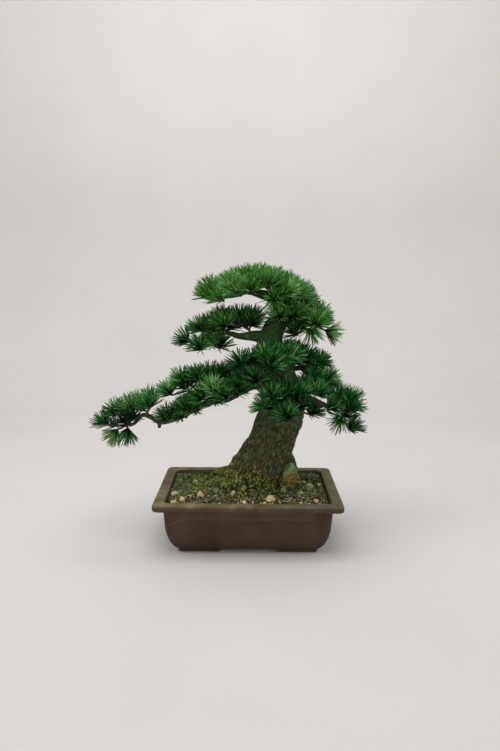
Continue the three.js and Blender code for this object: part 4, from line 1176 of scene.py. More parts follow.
owner = wood_lines["owner"][nearest].astype(float)
plate, flakes = bark_relief(bark_place, scale_size, owner)
depth = np.minimum(BARK_DEPTH * thickness, DEEPEST_CRACK)
bulges = noise_at(wood_points, 26) * np.minimum(0.045 * thickness, 2.0)
push = depth * (plate - 0.75) + 0.22 * depth * flakes + bulges
pushed = wood_points + own_normals(wood) * push[:, None]
wood.data.vertices.foreach_set("co", in_frame(pushed).ravel())
set_mark(wood.data, "plate", plate)
set_mark(wood.data, "grain", bark_place * MM)
wood.data.update()
wood.data.shade_smooth()
print("deepest crack:", round(float(depth.max()), 1), "mm")

# %% Bark material
# Dead outer bark is cork and resin in thin layers: dry, matt and grey-brown on top, red-brown in
# the cracks. The cracks are painted near black, which is that colour with painted shade added. On a
# tree that is watered from above, green algae and grey lichen grow on the scales,
# more of them higher up, where the air is damp among the needles.
def bark_material(name, film):
    """Scaly pine bark. Film is how much green the algae add at most."""
    material, add = new_material(name)
    place = add("TexCoord").outputs["Object"]
    grain = add("Attribute", {"attribute_name": "grain"}).outputs["Vector"]
    stretched = add("VectorMath", {"operation": "MULTIPLY", 1: (1, 1, 0.35)}, {0: grain})
    streaks = add("TexNoise", {"Scale": per_mm(3.4), "Detail": 6}, {"Vector": stretched})
    dry = add("ValToRGB", {
        "stops": [(0.3, "#2a2615"), (0.5, "#4f4b32"), (0.7, "#7d795a")],
    }, {"Fac": streaks})
    patches = add("TexNoise", {"Scale": per_mm(17), "Detail": 4}, {"Vector": place})
    height = add("SeparateXYZ", {}, {0: place}).outputs["Z"]
    damp = add("MapRange", {1: 0.2, 2: 0.38, 3: 0.0, 4: 0.5}, {0: height})
    chance = add("Math", {"operation": "ADD"}, {0: patches, 1: damp})
    cover = add("MapRange", {1: 0.46, 2: 0.76, 3: 0.06, 4: film}, {0: chance})
    algae = add("Mix", {MIX_B: "#345c2f"}, {0: cover, MIX_A: dry})
    lichen = add("TexNoise", {"Scale": per_mm(5.5), "Detail": 5}, {"Vector": place})
    spots = add("MapRange", {1: 0.6, 2: 0.7, 3: 0.0, 4: 0.6}, {0: lichen})
    spotted = add("Mix", {MIX_B: "#74805a"}, {0: spots, MIX_A: algae})
    plate = add("Attribute", {"attribute_name": "plate"}).outputs["Fac"]
    # Partly painted shade: the cracks go near black, darker than the inner bark's own colour.
    crack_colour_and_shade = add("MapRange", {1: 0.0, 2: 0.8, 3: 0.7, 4: 0.0}, {0: plate})
    cracked = add("Mix", {MIX_B: "#1d180e"}, {0: crack_colour_and_shade, MIX_A: spotted})
    mossy = add("Attribute", {"attribute_name": "mossy"}).outputs["Fac"]
    grown = add("MapRange", {1: 0.0, 2: 1.0, 3: 0.0, 4: 0.85}, {0: mossy})
    overgrown = add("Mix", {MIX_B: "#2f2e10"}, {0: grown, MIX_A: cracked})
    fine = add("TexNoise", {"Scale": per_mm(1.5), "Detail": 5}, {"Vector": stretched})
    bump = add("Bump", {"Strength": 0.7, "Distance": 0.9 * MM}, {"Height": fine})
    return coated(material, {"Base Color": overgrown, "Normal": bump}, {
        "Roughness": 0.88, "Specular IOR Level": 0.25,
    })


bark_finish = bark_material("scaly_pine_bark", 0.85)
dress(wood, bark_finish, ["wood"])
print("wood faces:", len(wood.data.polygons))

# %% [markdown]
# ## The moss
#
# Moss is thousands of tiny leafy shoots in a cushion. From a step away the eye reads a lumpy, velvety
# surface with bright tips and dark gaps. A closed cushion of domed clumps carries the form, crumbs
# break up its surface, and short pointed strands give the nap. Old moss turns ochre, so all three
# take their colour from the same slow noise.

# %% Moss cushion
MOSS_SIDES = 260
MOSS_RINGS = 74
CLUMP_SIZE = 9
CLUMP_HEIGHT = 5
BARE_ROOT = (-70, 58)
BARE_ROOT_SPREAD = 130


def from_foot(x, y):
    """How far a place is from the trunk's foot, and 0 at the foot."""
    middle_x, middle_y = MOSS_FOOT["place"]
    return np.maximum(0, np.hypot(x - middle_x, y - middle_y) - MOSS_FOOT["radius"])


def moss_top(x, y, share):
    """The moss surface: it climbs towards the trunk's foot and humps over the left root."""
    climb = MOSS_CLIMB * np.exp(-from_foot(x, y) / MOSS_FOOT["fade"]) * (1 - np.minimum(share, 1) ** 8)
    from_hump = (x - ROOT_HUMP["place"][0]) ** 2 + (y - ROOT_HUMP["place"][1]) ** 2
    hump = ROOT_HUMP["height"] * np.exp(-from_hump / ROOT_HUMP["spread"])
    lumps = 1.6 * np.sin(x / 6.5) * np.sin(y / 7.5 + 1)
    return soil_height(x, y) + MOSS_EDGE + climb + hump + lumps


def clumps(x, y):
    """Domed clumps: 1 on top of a dome and 0 in the hollows between, and each dome's own draw."""
    flat = on_plan(x, y)
    bent = flat + 0.35 * CLUMP_SIZE * on_plan(noise_at(flat + 31, 9), noise_at(flat + 77, 9))
    dome, draw = np.empty(len(x)), np.empty(len(x))
    for i, p in enumerate(bent / CLUMP_SIZE):
        distances, middles = noise.voronoi(Vector(p))
        dome[i] = distances[1] - distances[0]
        draw[i] = noise.cell(middles[0] * 7.3)
    small = noise_at(flat + 12, 3.2)
    dome = np.clip(dome * 1.35, 0, 1) ** 0.8
    return np.clip(dome + 0.3 * small, 0, 1.2), draw


def moss_surface(x, y, share):
    """Height of the clumpy moss, how far out of the hollows each place is, and its clump's draw."""
    dome, draw = clumps(x, y)
    edge_drop = 5 * np.clip((share - 0.93) / 0.07, 0, 1) ** 2
    swell = 0.6 + 0.8 * draw
    top = moss_top(x, y, share) + CLUMP_HEIGHT * (dome * swell - 0.45) - edge_drop
    room = pebble_room(x, y)
    return top * (1 - room) + (soil_height(x, y) + 1) * room, dome, draw


def moss_skin():
    """The closed cushion, from its hidden underside over its edge to its middle, with its marks."""
    angle = np.linspace(-math.pi, math.pi, MOSS_SIDES, endpoint=False)
    reach = moss_reach(angle)
    turn_xy = np.column_stack([np.cos(angle), np.sin(angle)])
    rings, domes, draws = [], [], []
    for scale, sink in [(0.9, 8), (0.98, 6), (1.0, 3)]:
        x, y = (MOSS_CENTRE + turn_xy * (scale * reach)[:, None]).T
        rings.append(np.column_stack([x, y, soil_height(x, y) - sink]))
        domes.append(np.zeros(MOSS_SIDES))
        draws.append(np.zeros(MOSS_SIDES))
    for scale in np.linspace(1, 0.02, MOSS_RINGS):
        x, y = (MOSS_CENTRE + turn_xy * (scale * reach)[:, None]).T
        z, dome, draw = moss_surface(x, y, np.full(MOSS_SIDES, scale))
        rings.append(np.column_stack([x, y, z]))
        domes.append(dome)
        draws.append(draw)
    ends = [0.0, 0.5]
    return loft(rings), np.append(np.concatenate(domes), ends), np.append(np.concatenate(draws), ends)


def moss_age(places, draw):
    """0 for fresh green and 1 for old ochre: older near the trunk, and different in each clump."""
    x, y = places[:, 0], places[:, 1]
    near_trunk = np.exp(-from_foot(x, y) / 22)
    bare_root = np.exp(-((x - BARE_ROOT[0]) ** 2 + (y - BARE_ROOT[1]) ** 2) / BARE_ROOT_SPREAD)
    slow = 0.08 + 0.26 * near_trunk + 0.3 * noise_at(on_plan(x, y) + 90, 18)
    greener = 0.14 * np.clip((x - 10) / 40, 0, 1)
    return np.clip(slow + 0.35 * (draw - 0.4) + 1.1 * bare_root - greener, 0, 1.2)


print("moss stands about", MOSS_EDGE, "mm above the soil at its edge")

# %% Moss material
# A moss leaf is one cell thick and holds water, so it is bright where light falls through it and never
# glossy. The mark "light" is painted light and shade: low values paint the gaps between shoots and
# the hollows in deep shade, and high values leave the parts that stand out bright.
def moss_material():
    """Living moss, from fresh green through olive to ochre, with painted shade in its hollows."""
    material, add = new_material("living_moss")
    place = add("TexCoord").outputs["Object"]
    age = add("Attribute", {"attribute_name": "age"}).outputs["Fac"]
    light = add("Attribute", {"attribute_name": "light"}).outputs["Fac"]
    speck = add("TexNoise", {"Scale": per_mm(3.0), "Detail": 5}, {"Vector": place})
    shift = add("MapRange", {1: 0.3, 2: 0.7, 3: -0.2, 4: 0.2}, {0: speck})
    mixed = add("Math", {"operation": "ADD"}, {0: age, 1: shift})
    hue = add("ValToRGB", {
        "stops": [(0.0, "#7f9a55"), (0.35, "#a9ac5c"), (0.65, "#b3a147"),
                  (0.85, "#8f7030"), (1.0, "#5a3e22")],
    }, {"Fac": mixed})
    # Painted shade: where the mark "light" is low, the colour goes towards near black.
    dark = add("MapRange", {1: 0.1, 2: 0.9, 3: 0.95, 4: 0.0}, {0: light})
    hue_with_painted_shade = add("Mix", {MIX_B: "#191a06"}, {0: dark, MIX_A: hue})
    bump = add("Bump", {"Strength": 0.6, "Distance": 1.2 * MM}, {"Height": speck})
    return coated(material, {"Base Color": hue_with_painted_shade, "Normal": bump}, {
        "Roughness": 0.85, "Specular IOR Level": 0.2,
    })


moss_finish = moss_material()
(points, quads, triangles), domes, draws = moss_skin()
# The cushion's mark "light" is low all over, a little higher on the domes: painted shade, as it shows only as
# the dark ground between the crumbs.
piece_from("moss_cushion", points, (quads, triangles), moss_finish, ["moss"], {
    "age": moss_age(points, draws),
    "light": 0.04 + 0.22 * domes,
})
print("moss cushion points:", len(points))

# %% [markdown]
# ### Crumbs of moss
#
# An old cushion breaks up into crumbs a few millimetres wide. Each is a dented ball like a grain of
# grit, painted lit or sunk in shade at random. They also build the small patches of moss on the grit.

# %% Crumbs
CRUMB_TRIES = 26000
CRUMB_SIZE = (2.2, 6.2)

random = np.random.default_rng(SEED + 6)
x = random.uniform(-INNER_HALF + 6, INNER_HALF - 6, CRUMB_TRIES)
y = random.uniform(-INNER_HALF + CORNER_OFFSET + 6, INNER_HALF - CORNER_OFFSET - 6, CRUMB_TRIES)
share = moss_share(x, y)
lift = patch_lift(x, y)
grows = ((share < 1) | (lift > 0.6)) & (pebble_room(x, y) < 0.35)
x, y, share, lift = x[grows], y[grows], share[grows], lift[grows]
z, dome, draw = moss_surface(x, y, np.minimum(share, 1))
in_patch = (share >= 1) | (soil_height(x, y) + lift > z)
z[in_patch] = (soil_height(x, y) + lift * random.uniform(0.4, 1.0, len(x)) + 1)[in_patch]
widths = CRUMB_SIZE[0] + (CRUMB_SIZE[1] - CRUMB_SIZE[0]) * random.beta(1.5, 2.6, len(x))
crumb_places = np.column_stack([x, y, z + widths * random.uniform(-0.35, 0.25, len(x))])
free = nearest_wood(crumb_places)[1] > -1
crumb_places, widths, dome, draw = crumb_places[free], widths[free], dome[free], draw[free]
sizes = widths[:, None] * random.uniform(0.6, 1.05, (len(widths), 3))
points, triangles, per_crumb = many_stones(crumb_places, sizes, random)
age = np.clip(moss_age(crumb_places, random.random(len(widths))), 0, 1)
# Painted light and shade: each crumb is lit or shaded at random, darker in the clumps' hollows and dimmer in
# the patches.
light = np.clip((0.22 + 1.4 * random.random(len(widths)) ** 1.5) * (0.15 + 1.0 * dome), 0.03, 1)
light = np.clip(light * (1.38 + 0.8 * noise_at(crumb_places, 13)), 0.03, 1)
light[in_patch[free]] *= 0.7
crumbs = piece_from("moss_crumbs", points, [triangles], moss_finish, (), {
    "age": np.repeat(age, per_crumb),
    "light": np.repeat(light, per_crumb),
}, smooth=False)
print("crumbs of moss:", len(crumb_places), "faces:", len(crumbs.data.polygons))

# %% [markdown]
# ### Strands of moss
#
# Each strand is a three-sided spike a few millimetres long. Real shoots are finer and far more
# numerous, so these are drawn about twice as thick, which reads the same from a step away. They lean
# at random round the surface's own direction. Some also grow on the bark's foot.

# %% Spikes in bulk
def spikes(roots, directions, lengths, widths, random):
    """Three-sided spikes as points and triangles: three points at the root and one at the tip."""
    side, other = any_sides(directions, random)
    corners = []
    for angle in np.radians([0, 120, 240]):
        corners.append(roots + widths[:, None] / 2 * (math.cos(angle) * side + math.sin(angle) * other))
    tips = roots + directions * lengths[:, None]
    points = np.stack([*corners, tips], axis=1).reshape(-1, 3)
    faces = np.array([(0, 1, 3), (1, 2, 3), (2, 0, 3), (2, 1, 0)])
    triangles = faces[None] + (4 * np.arange(len(roots)))[:, None, None]
    return points, triangles.reshape(-1, 3)


# %% Strands on the cushion
STRAND_COUNT = 20000
STRAND_LENGTH = (1.8, 4.2)
STRAND_WIDTH = (0.9, 1.7)

random = np.random.default_rng(SEED + 1)
angle = random.uniform(-math.pi, math.pi, STRAND_COUNT)
share = np.sqrt(random.uniform(0.02, 1.03, STRAND_COUNT))
reach = share * moss_reach(angle)
x, y = MOSS_CENTRE[0] + reach * np.cos(angle), MOSS_CENTRE[1] + reach * np.sin(angle)
z, dome, draw = moss_surface(x, y, share)
rooted = random.random(STRAND_COUNT) < 0.15 + 0.85 * dome
rooted &= pebble_room(x, y) < 0.3
roots, dome, draw = np.column_stack([x, y, z - 0.5])[rooted], dome[rooted], draw[rooted]
bare = nearest_wood(roots)[1] > -1.0
roots, dome, draw = roots[bare], dome[bare], draw[bare]
away = unit(np.column_stack([roots[:, :2] - MOSS_FOOT["place"], np.full(len(roots), 30.0)]))
directions = unit(away * (0.6, 0.6, 1.4) + 0.55 * random.normal(size=away.shape) * (1, 1, 0.4))
print("strands on the cushion:", len(roots))

# %% Strands on the bark's foot
CLIMB_COUNT = 9000
CLIMB_LEFT = 151
CLIMB_RIGHT = 121


def moss_line(places):
    """How high moss grows on the bark: high on the left of the trunk's foot, low on its right."""
    falling = np.clip((places[:, 0] - 14) / 30, 0, 1)
    ragged = 7 * noise_at(places, 12) + 4 * noise_at(places, 4)
    return CLIMB_LEFT + (CLIMB_RIGHT - CLIMB_LEFT) * falling + ragged


wood_now = own_points(wood)
wood_normals = own_normals(wood)
low = np.flatnonzero((wood_now[:, 2] < CLIMB_LEFT + 12) & (wood_now[:, 2] > SOIL_LEVEL + 6))
mossy = np.clip((moss_line(wood_now[low]) - wood_now[low, 2]) / 8, 0, 1)
chosen = random.random(len(low)) < mossy * CLIMB_COUNT / max(1, mossy.sum())
grown = low[chosen]
bark_roots = wood_now[grown] - 0.3 * wood_normals[grown]
bark_ways = unit(0.8 * wood_normals[grown] + (0, 0, 0.45) + 0.4 * random.normal(size=bark_roots.shape))
_, bark_draw = clumps(bark_roots[:, 0] + bark_roots[:, 1], bark_roots[:, 2])
spread = np.zeros(len(wood_now))
spread[low] = mossy
set_mark(wood.data, "mossy", spread)
print("strands on the bark:", len(grown))

# %% Both in one piece
all_roots = np.vstack([roots, bark_roots])
all_ways = np.vstack([directions, bark_ways])
all_draws = np.concatenate([draw, bark_draw])
standing = np.concatenate([dome, random.uniform(0.3, 1.0, len(bark_roots))])
lengths = random.uniform(*STRAND_LENGTH, len(all_roots)) * (0.6 + 0.4 * standing)
lengths[len(roots):] *= 0.75
widths = random.uniform(*STRAND_WIDTH, len(all_roots))
points, triangles = spikes(all_roots, all_ways, lengths, widths, random)
age = moss_age(all_roots, all_draws)
age[len(roots):] = 0.55 + 0.4 * (all_draws[len(roots):] - 0.5)
age = np.clip(age + random.normal(0, 0.12, len(age)), 0, 1)
# Painted light and shade: each strand is dark at its root and lighter at its tip, and dimmed at random.
at_root, at_tip = 0.1 + 0.3 * standing, 0.35 + 0.65 * standing
light = np.column_stack([at_root, at_root, at_root, at_tip]) * random.uniform(0.2, 0.95, (len(age), 1))
strands = piece_from("moss_strands", points, [triangles], moss_finish, (), {
    "age": np.repeat(age, 4),
    "light": light.ravel(),
}, smooth=False)
print("strands of moss:", len(all_roots))

# %% [markdown]
# ## Rock and pebbles
#
# The rock and the pebbles are broken stone, so they have flat faces that meet in blunt edges. A ball
# with many faces is cut by planes at random distances: each plane flattens what lies beyond it. Fine
# noise then breaks the flats. Each keeps the size, the place and the turn of its solid.

# %% Cut stones
ROCK = {"place": (79, 2), "size": (41, 34, 55), "turn": 0.3, "sink": 5}


def cut_stone(size, turn, planes, rough, random):
    """A ball flattened by (direction, distance) planes, with broken faces, as points and triangles."""
    ball = bmesh.new()
    bmesh.ops.create_icosphere(ball, subdivisions=5, radius=1)
    points = np.array([v.co[:] for v in ball.verts])
    triangles = np.array([[v.index for v in f.verts] for f in ball.faces])
    ball.free()
    for direction, distance in planes:
        beyond = np.maximum(points @ direction - distance, 0)
        points = points - beyond[:, None] * direction
    points = points * (1 + rough * noise_at(points + random.uniform(0, 50, 3), 0.45)[:, None])
    points = points * (1 + 0.3 * rough * noise_at(points + 9, 0.12)[:, None])
    points = (points - points.min(axis=0)) / np.ptp(points, axis=0) - 0.5
    rise = points[:, 2] + 0.5
    points = points * np.array(size)
    turned = points.copy()
    turned[:, 0] = points[:, 0] * math.cos(turn) - points[:, 1] * math.sin(turn)
    turned[:, 1] = points[:, 0] * math.sin(turn) + points[:, 1] * math.cos(turn)
    return turned, triangles, rise


def random_planes(count, nearest, furthest, random):
    """Planes that face every way, at random distances."""
    return list(zip(unit(random.normal(size=(count, 3))), random.uniform(nearest, furthest, count)))


print("stones:", 1 + len(PEBBLES))

# %% Stone material
# Beach and river stones are fine-grained and were rubbed matt, with grains near 0.5 mm, drawn at
# 0.7 mm. A slow noise gives veins and stains, a fine one the grain, and algae settle on the faces
# that look up.
def stone_material(name, stops, stain, stain_cover, by_height=False):
    """Rubbed stone with its own tones, and a stain on its upper faces or on its whole upper half."""
    material, add = new_material(name)
    place = add("TexCoord").outputs["Object"]
    veins = add("TexNoise", {"Scale": per_mm(6), "Detail": 6, "Distortion": 0.8}, {"Vector": place})
    tones = add("ValToRGB", {"stops": stops}, {"Fac": veins})
    upward = add("SeparateXYZ", {}, {0: add("NewGeometry").outputs["Normal"]}).outputs["Z"]
    patch = add("TexNoise", {"Scale": per_mm(4), "Detail": 4}, {"Vector": place})
    if by_height:
        upward = add("Attribute", {"attribute_name": "rise"}).outputs["Fac"]
    sum_up = add("Math", {"operation": "ADD"}, {0: upward, 1: patch})
    limits = (1.17, 1.34) if by_height else (0.35, 1.1)
    cover = add("MapRange", {1: limits[0], 2: limits[1], 3: 0.0, 4: stain_cover}, {0: sum_up})
    stained = add("Mix", {MIX_B: stain}, {0: cover, MIX_A: tones})
    grain = add("TexNoise", {"Scale": per_mm(0.7), "Detail": 4}, {"Vector": place})
    bump = add("Bump", {"Strength": 0.35, "Distance": 0.4 * MM}, {"Height": grain})
    return coated(material, {"Base Color": stained, "Normal": bump}, {
        "Roughness": 0.7, "IOR": 1.54, "Specular IOR Level": 0.35,
    })


rock_finish = stone_material("lichened_sandstone", [
    (0.3, "#3f3222"), (0.48, "#6b4a2a"), (0.62, "#7d6a44"), (0.78, "#8f8a62"),
], "#74a05f", 0.9, True)
# Each kind's name, its dark, middle and pale tone, its stain and the most that this covers.
PEBBLE_KINDS = {
    "cream": ("cream_quartzite", ("#b79f62", "#d3bf83", "#e2d6a8"), "#c9bd80", 0.3),
    "palegreen": ("pale_green_chert", ("#8d9a72", "#aebb90", "#cfd6b4"), "#93a873", 0.4),
    "green": ("algae_green_quartz", ("#6a8a42", "#8bab5e", "#b9cf92"), "#77983f", 0.45),
    "teal": ("grey_green_chert", ("#465a44", "#62785c", "#8a9a7c"), "#5d7350", 0.5),
    "slate": ("grey_slate", ("#34362f", "#4b4e46", "#63675a"), "#4f5c48", 0.5),
}
PEBBLE_FINISHES = {
    kind: stone_material(name, list(zip((0.3, 0.5, 0.7), tones)), stain, cover)
    for kind, (name, tones, stain, cover) in PEBBLE_KINDS.items()
}


def set_stone(name, node, stone, planes, rough, finish, random):
    """Cuts a stone and sets it into the soil where its solid is."""
    (x, y), size = stone["place"], stone["size"]
    points, triangles, rise = cut_stone(size, stone["turn"], planes, rough, random)
    z = float(soil_height(x, y)) + size[2] / 2 - stone["sink"]
    return piece_from(name, points + (x, y, z), [triangles], finish, [node], {"rise": rise})


random = np.random.default_rng(SEED + 2)
ROCK_PLANES = [((-0.45, -0.2, 0.87), 0.78), ((0.93, -0.1, 0.35), 0.76), ((0.05, -0.92, 0.36), 0.74),
               ((-0.2, 0.8, 0.5), 0.7), ((-0.97, 0.1, 0.15), 0.78), ((0.3, -0.5, 0.8), 0.78)]
rock_planes = [(unit(np.array(direction)), distance) for direction, distance in ROCK_PLANES]
rock_planes += random_planes(8, 0.82, 0.95, random)
rock = set_stone("mossy_rock", "rock", ROCK, rock_planes, 0.07, rock_finish, random)
for i, (place, size, kind) in enumerate(PEBBLES, start=1):
    pebble = {"place": place, "size": size, "turn": 0.7 * i, "sink": size[2] * PEBBLE_SINK}
    set_stone(f"pebble_stone_{i}", f"pebble_{i}", pebble, random_planes(11, 0.66, 0.92, random), 0.05,
              PEBBLE_FINISHES[kind], random)
print("rock and", len(PEBBLES), "pebbles set")

# %% Smaller loose stones
LOOSE_STONES = [
    ((-102, -27), (9.5, 9, 8), "palegreen"), ((-93, -10), (6, 5, 8), "cream"),
    ((-54, -69), (11, 9, 8), "slate"), ((-136, 43), (10, 10, 9), "green"),
    ((-141, 2), (12, 10, 9), "slate"), ((-113, 76), (9, 8, 6), "palegreen"),
    ((126, 79), (18, 12, 10), "slate"), ((137, 18), (10, 8, 9), "palegreen"),
    ((99, -28), (13, 10, 9), "green"), ((30, -82), (7, 6, 6), "cream"),
    ((96, -78), (7, 6, 5), "cream"), ((-52, -84), (7, 6, 5), "palegreen"),
]
for i, ((x, y), size, kind) in enumerate(LOOSE_STONES, start=1):
    points, triangles, rise = cut_stone(size, 0.9 * i, random_planes(9, 0.66, 0.92, random), 0.05, random)
    z = float(soil_height(x, y)) + 0.25 * size[2]
    piece_from(f"loose_stone_{i}", points + (x, y, z), [triangles], PEBBLE_FINISHES[kind],
               (), {"rise": rise})
print("loose stones:", len(LOOSE_STONES))

# %% Moss on the foot of the rock and of the trunk
ROCK_MOSS_TOP = 120
FOOT_CRUMB_SIZE = (2.0, 4.8)


def crumbs_on(name, piece, top, share, darkest, bank, random):
    """Crumbs of moss on a piece's skin, between the soil and a height of its own at each place."""
    places, normals = own_points(piece), own_normals(piece)
    grown = np.flatnonzero((places[:, 2] < top(places) + 4) & (places[:, 2] > SOIL_LEVEL))
    thinning = np.clip((top(places[grown]) - places[grown, 2]) / 14, 0, 1) * 0.8 + 0.2
    grown = grown[random.random(len(grown)) < share * thinning]
    widths = random.uniform(*FOOT_CRUMB_SIZE, len(grown))
    middles = places[grown] + normals[grown] * random.uniform(-0.8, 0.9, (len(grown), 1))
    middles += normals[grown] * bank * np.clip((top(middles) - middles[:, 2]) / 20, 0, 1)[:, None]
    sizes = widths[:, None] * random.uniform(0.6, 1.05, (len(grown), 3))
    points, triangles, per_crumb = many_stones(middles, sizes, random)
    low_down = np.clip((top(middles) - middles[:, 2]) / 30, 0, 1)
    age = np.clip(random.normal(0.5, 0.16, len(grown)) - 0.38 * low_down, 0, 0.8)
    # Painted light and shade: each crumb is lit at random, never below darkest.
    light = darkest + (1 - darkest) * random.random(len(grown)) ** 1.4
    light = np.clip(light * (1.05 + 0.8 * noise_at(middles, 9)), 0.02, 1)
    piece_from(name, points, [triangles], moss_finish, (), {
        "age": np.repeat(age, per_crumb),
        "light": np.repeat(light, per_crumb),
    }, smooth=False)
    print(name, "crumbs:", len(grown))


def rock_line(places):
    """The moss bank leans against the rock's front and its right side."""
    return ROCK_MOSS_TOP + 4 * noise_at(places, 7) - 0.2 * (places[:, 0] - ROCK["place"][0])


crumbs_on("rock_moss", rock, rock_line, 0.8, 0.2, 3.0, random)
crumbs_on("trunk_moss", wood, moss_line, 0.24, 0.1, 1.5, random)

# %% [markdown]
# ## The foliage
#
# A pine carries its needles in tufts at the ends of short shoots, and a grower wires and pinches
# the shoots into flat pads. The model has a spray for each forked twig, with a few coarse needles in
# each tuft. Here the same twigs carry up to 94 fine needles a tuft, and a smaller tuft grows beside
# it from a side bud. Most places and directions are the model's own. A few tufts stand up to 12 mm
# aside or are turned, as the photograph shows them, and the lowest pad at the right has one more.

# %% Pads, sprays and tufts
# A pad has a limb and a hub that its tufts point away from. A spray is (fork or None, tufts), and a
# tuft is a place, with a direction of its own where it doesn't point away from the hub.
PADS = [
    ("crown_left", "crownLeft", (12, 0, 429), [
        ((-53, -5, 466), [(-71, -5, 463), (-68, 12, 473), (-46, -23, 456, -0.85, -0.35, 0.25)]),
        (None, [(-43, -8, 476), (-46, 25, 470), (-21, 5, 487)]),
        (None, [(-17, -35, 466), (-28, -26, 478), (5, -42, 475)]),
        (None, [(1, -8, 491), (23, 8, 492), (15, -30, 482)])]),
    ("crown_back", "crownBack", (12, 0, 429), [
        (None, [(-9, 32, 488), (-34, 45, 479), (16, 48, 494)]),
        (None, [(45, 38, 487), (72, 36, 476), (95, 36, 459)])]),
    ("crown_front", "crownFront", (12, 0, 429), [
        (None, [(44, -48, 463, -0.1, -0.95, -0.2), (32, -40, 479), (64, -42, 468)])]),
    ("crown_right", "crownRight", (30, 0, 424), [
        (None, [(43, -10, 487), (66, 5, 480), (55, -25, 477)]),
        (None, [(96, -5, 456), (84, -22, 465), (90, 18, 467)])]),
    ("neck", "upperRight", (60, 10, 389), [
        (None, [(105, 8, 441), (99, -10, 426), (81, -28, 429), (55, -36, 427, -0.2, -0.5, 0.8),
                (67, -28, 445)])]),
    ("upper_right", "upperRight", (85, 5, 394), [
        ((128, -5, 410), [(126, 6, 426), (141, -2, 402, 0.85, -0.25, -0.3),
                          (120, -28, 414, 0.3, -0.6, 0.5)]),
        ((98, -7, 400), [(86, -16, 394, -0.4, -0.4, 0.7), (112, -20, 407, 0.1, -0.75, -0.5)])]),
    ("upper_right_back", "upperRightBack", (85, 5, 394), [
        (None, [(86, 34, 413), (108, 38, 407), (129, 28, 416)])]),
    ("mid_left", "midLeft", (-20, 0, 359), [
        ((-74, -7, 373), [(-111, 2, 379), (-89, -17, 366, -0.15, -0.35, 0.8),
                          (-54, -26, 371, 0.15, -0.4, 0.75)]),
        (None, [(-47, 5, 416), (-43, -18, 409), (-86, -5, 400)]),
        (None, [(-19, -2, 417), (3, -10, 418), (-6, 20, 409)])]),
    ("mid_left_back", "midLeftBack", (-20, 0, 359), [
        (None, [(-71, 30, 403), (-41, 38, 409), (-16, 46, 405)])]),
    ("front_mid", "frontMid", (20, -20, 279), [
        (None, [(-13, -50, 340), (13, -66, 314), (-14, -45, 302)])]),
    ("front_upper", "frontMidUp", (20, -20, 279), [
        (None, [(38, -60, 340), (7, -42, 341), (30, -48, 352)]),
        (None, [(74, -34, 352), (56, -44, 353)])]),
    ("mid_right", "midRight", (70, 10, 309), [
        (None, [(100, 6, 345), (127, 12, 336), (80, 8, 354)]),
        (None, [(103, 42, 337), (72, 46, 350), (126, 38, 332)])]),
    ("low_right", "right", (90, 0, 234), [
        (None, [(99, -26, 289, 0.35, -0.25, 0.85), (117, -2, 306), (125, -26, 284)]),
        ((151, -19, 249), [(146, -27, 257), (173, -26, 243, -0.35, -0.8, -0.4)]),
        ((181, -4, 241), [(189, -2, 253), (190, -6, 214, 0.75, -0.3, 0.55), (168, 3, 268, 0.5, 0, 0.85),
                          (192, -2, 266, 0.1, 0, 1)])]),
    ("low_right_back", "rightTop", (90, 0, 234), [
        (None, [(120, 34, 305), (145, 12, 303), (150, 42, 286), (175, 36, 263)])]),
    ("front_low", "frontLow", (70, -30, 224), [
        (None, [(66, -88, 254), (35, -66, 266, -0.9, -0.3, 0.3), (44, -72, 285, -0.3, -0.4, 0.8)]),
        (None, [(66, -60, 293), (108, -66, 257), (90, -52, 285, 0.2, -0.3, 0.9)])]),
    ("left_tip", "left", (-130, 0, 159), [
        ((-240, 2, 217), [(-269, 4, 219, -0.9, -0.1, 0.35), (-248, -10, 213, -0.6, -0.2, -0.78),
                          (-230, -5, 215, -0.1, -0.1, -1)]),
        ((-219, 2, 238), [(-227, -14, 225, -0.35, -0.3, 0.9), (-225, 8, 247), (-250, 12, 238)]),
        (None, [(-187, -6, 254), (-188, 26, 259), (-210, 22, 250)])]),
    ("left", "left", (-60, 0, 159), [
        (None, [(-148, -22, 236, -0.5, -0.4, 0.75), (-115, -24, 253, -0.25, -0.4, 0.85)]),
        (None, [(-86, -27, 275, -0.55, -0.3, 0.75), (-66, -32, 290), (-42, -36, 279, -0.5, -0.35, 0.8),
                (-14, -32, 302)])]),
    ("left_top", "leftTop", (-60, 0, 159), [
        (None, [(-148, 2, 278), (-123, 4, 301), (-97, -6, 306)]),
        (None, [(-74, 0, 310), (-46, 10, 307)])]),
    ("left_back", "leftBack", (-60, 0, 159), [
        (None, [(-114, 34, 290), (-86, 44, 295), (-55, 50, 301), (-22, 50, 307)])]),
    ("back", "back", (60, 20, 299), [
        (None, [(30, 78, 336), (64, 88, 337), (93, 74, 331)])]),
]
print("tufts in the model:", sum(len(tufts) for _, _, _, sprays in PADS for _, tufts in sprays))

# %% Where each stem leaves its limb, and where it forks
FORK_SHARE = 0.45
STEM_BACK = 9
STEM_RADIUS = 2.5
SHOOT_SINK = 2.5
UPRIGHT = 0.4


def nearest_on_limb(path, target):
    """The place on a limb that a stem to the target grows from, a little nearer to the trunk."""
    rough = along_path(path, np.linspace(0, 1, 60))
    length = np.linalg.norm(np.diff(rough, axis=0), axis=1).sum()
    shares = np.linspace(0, 1, math.ceil(length / 3) + 1)
    best = shares[np.linalg.norm(along_path(path, shares) - target, axis=1).argmin()]
    return along_path(path, [min(max(0, best - STEM_BACK / length), 0.97)])[0]


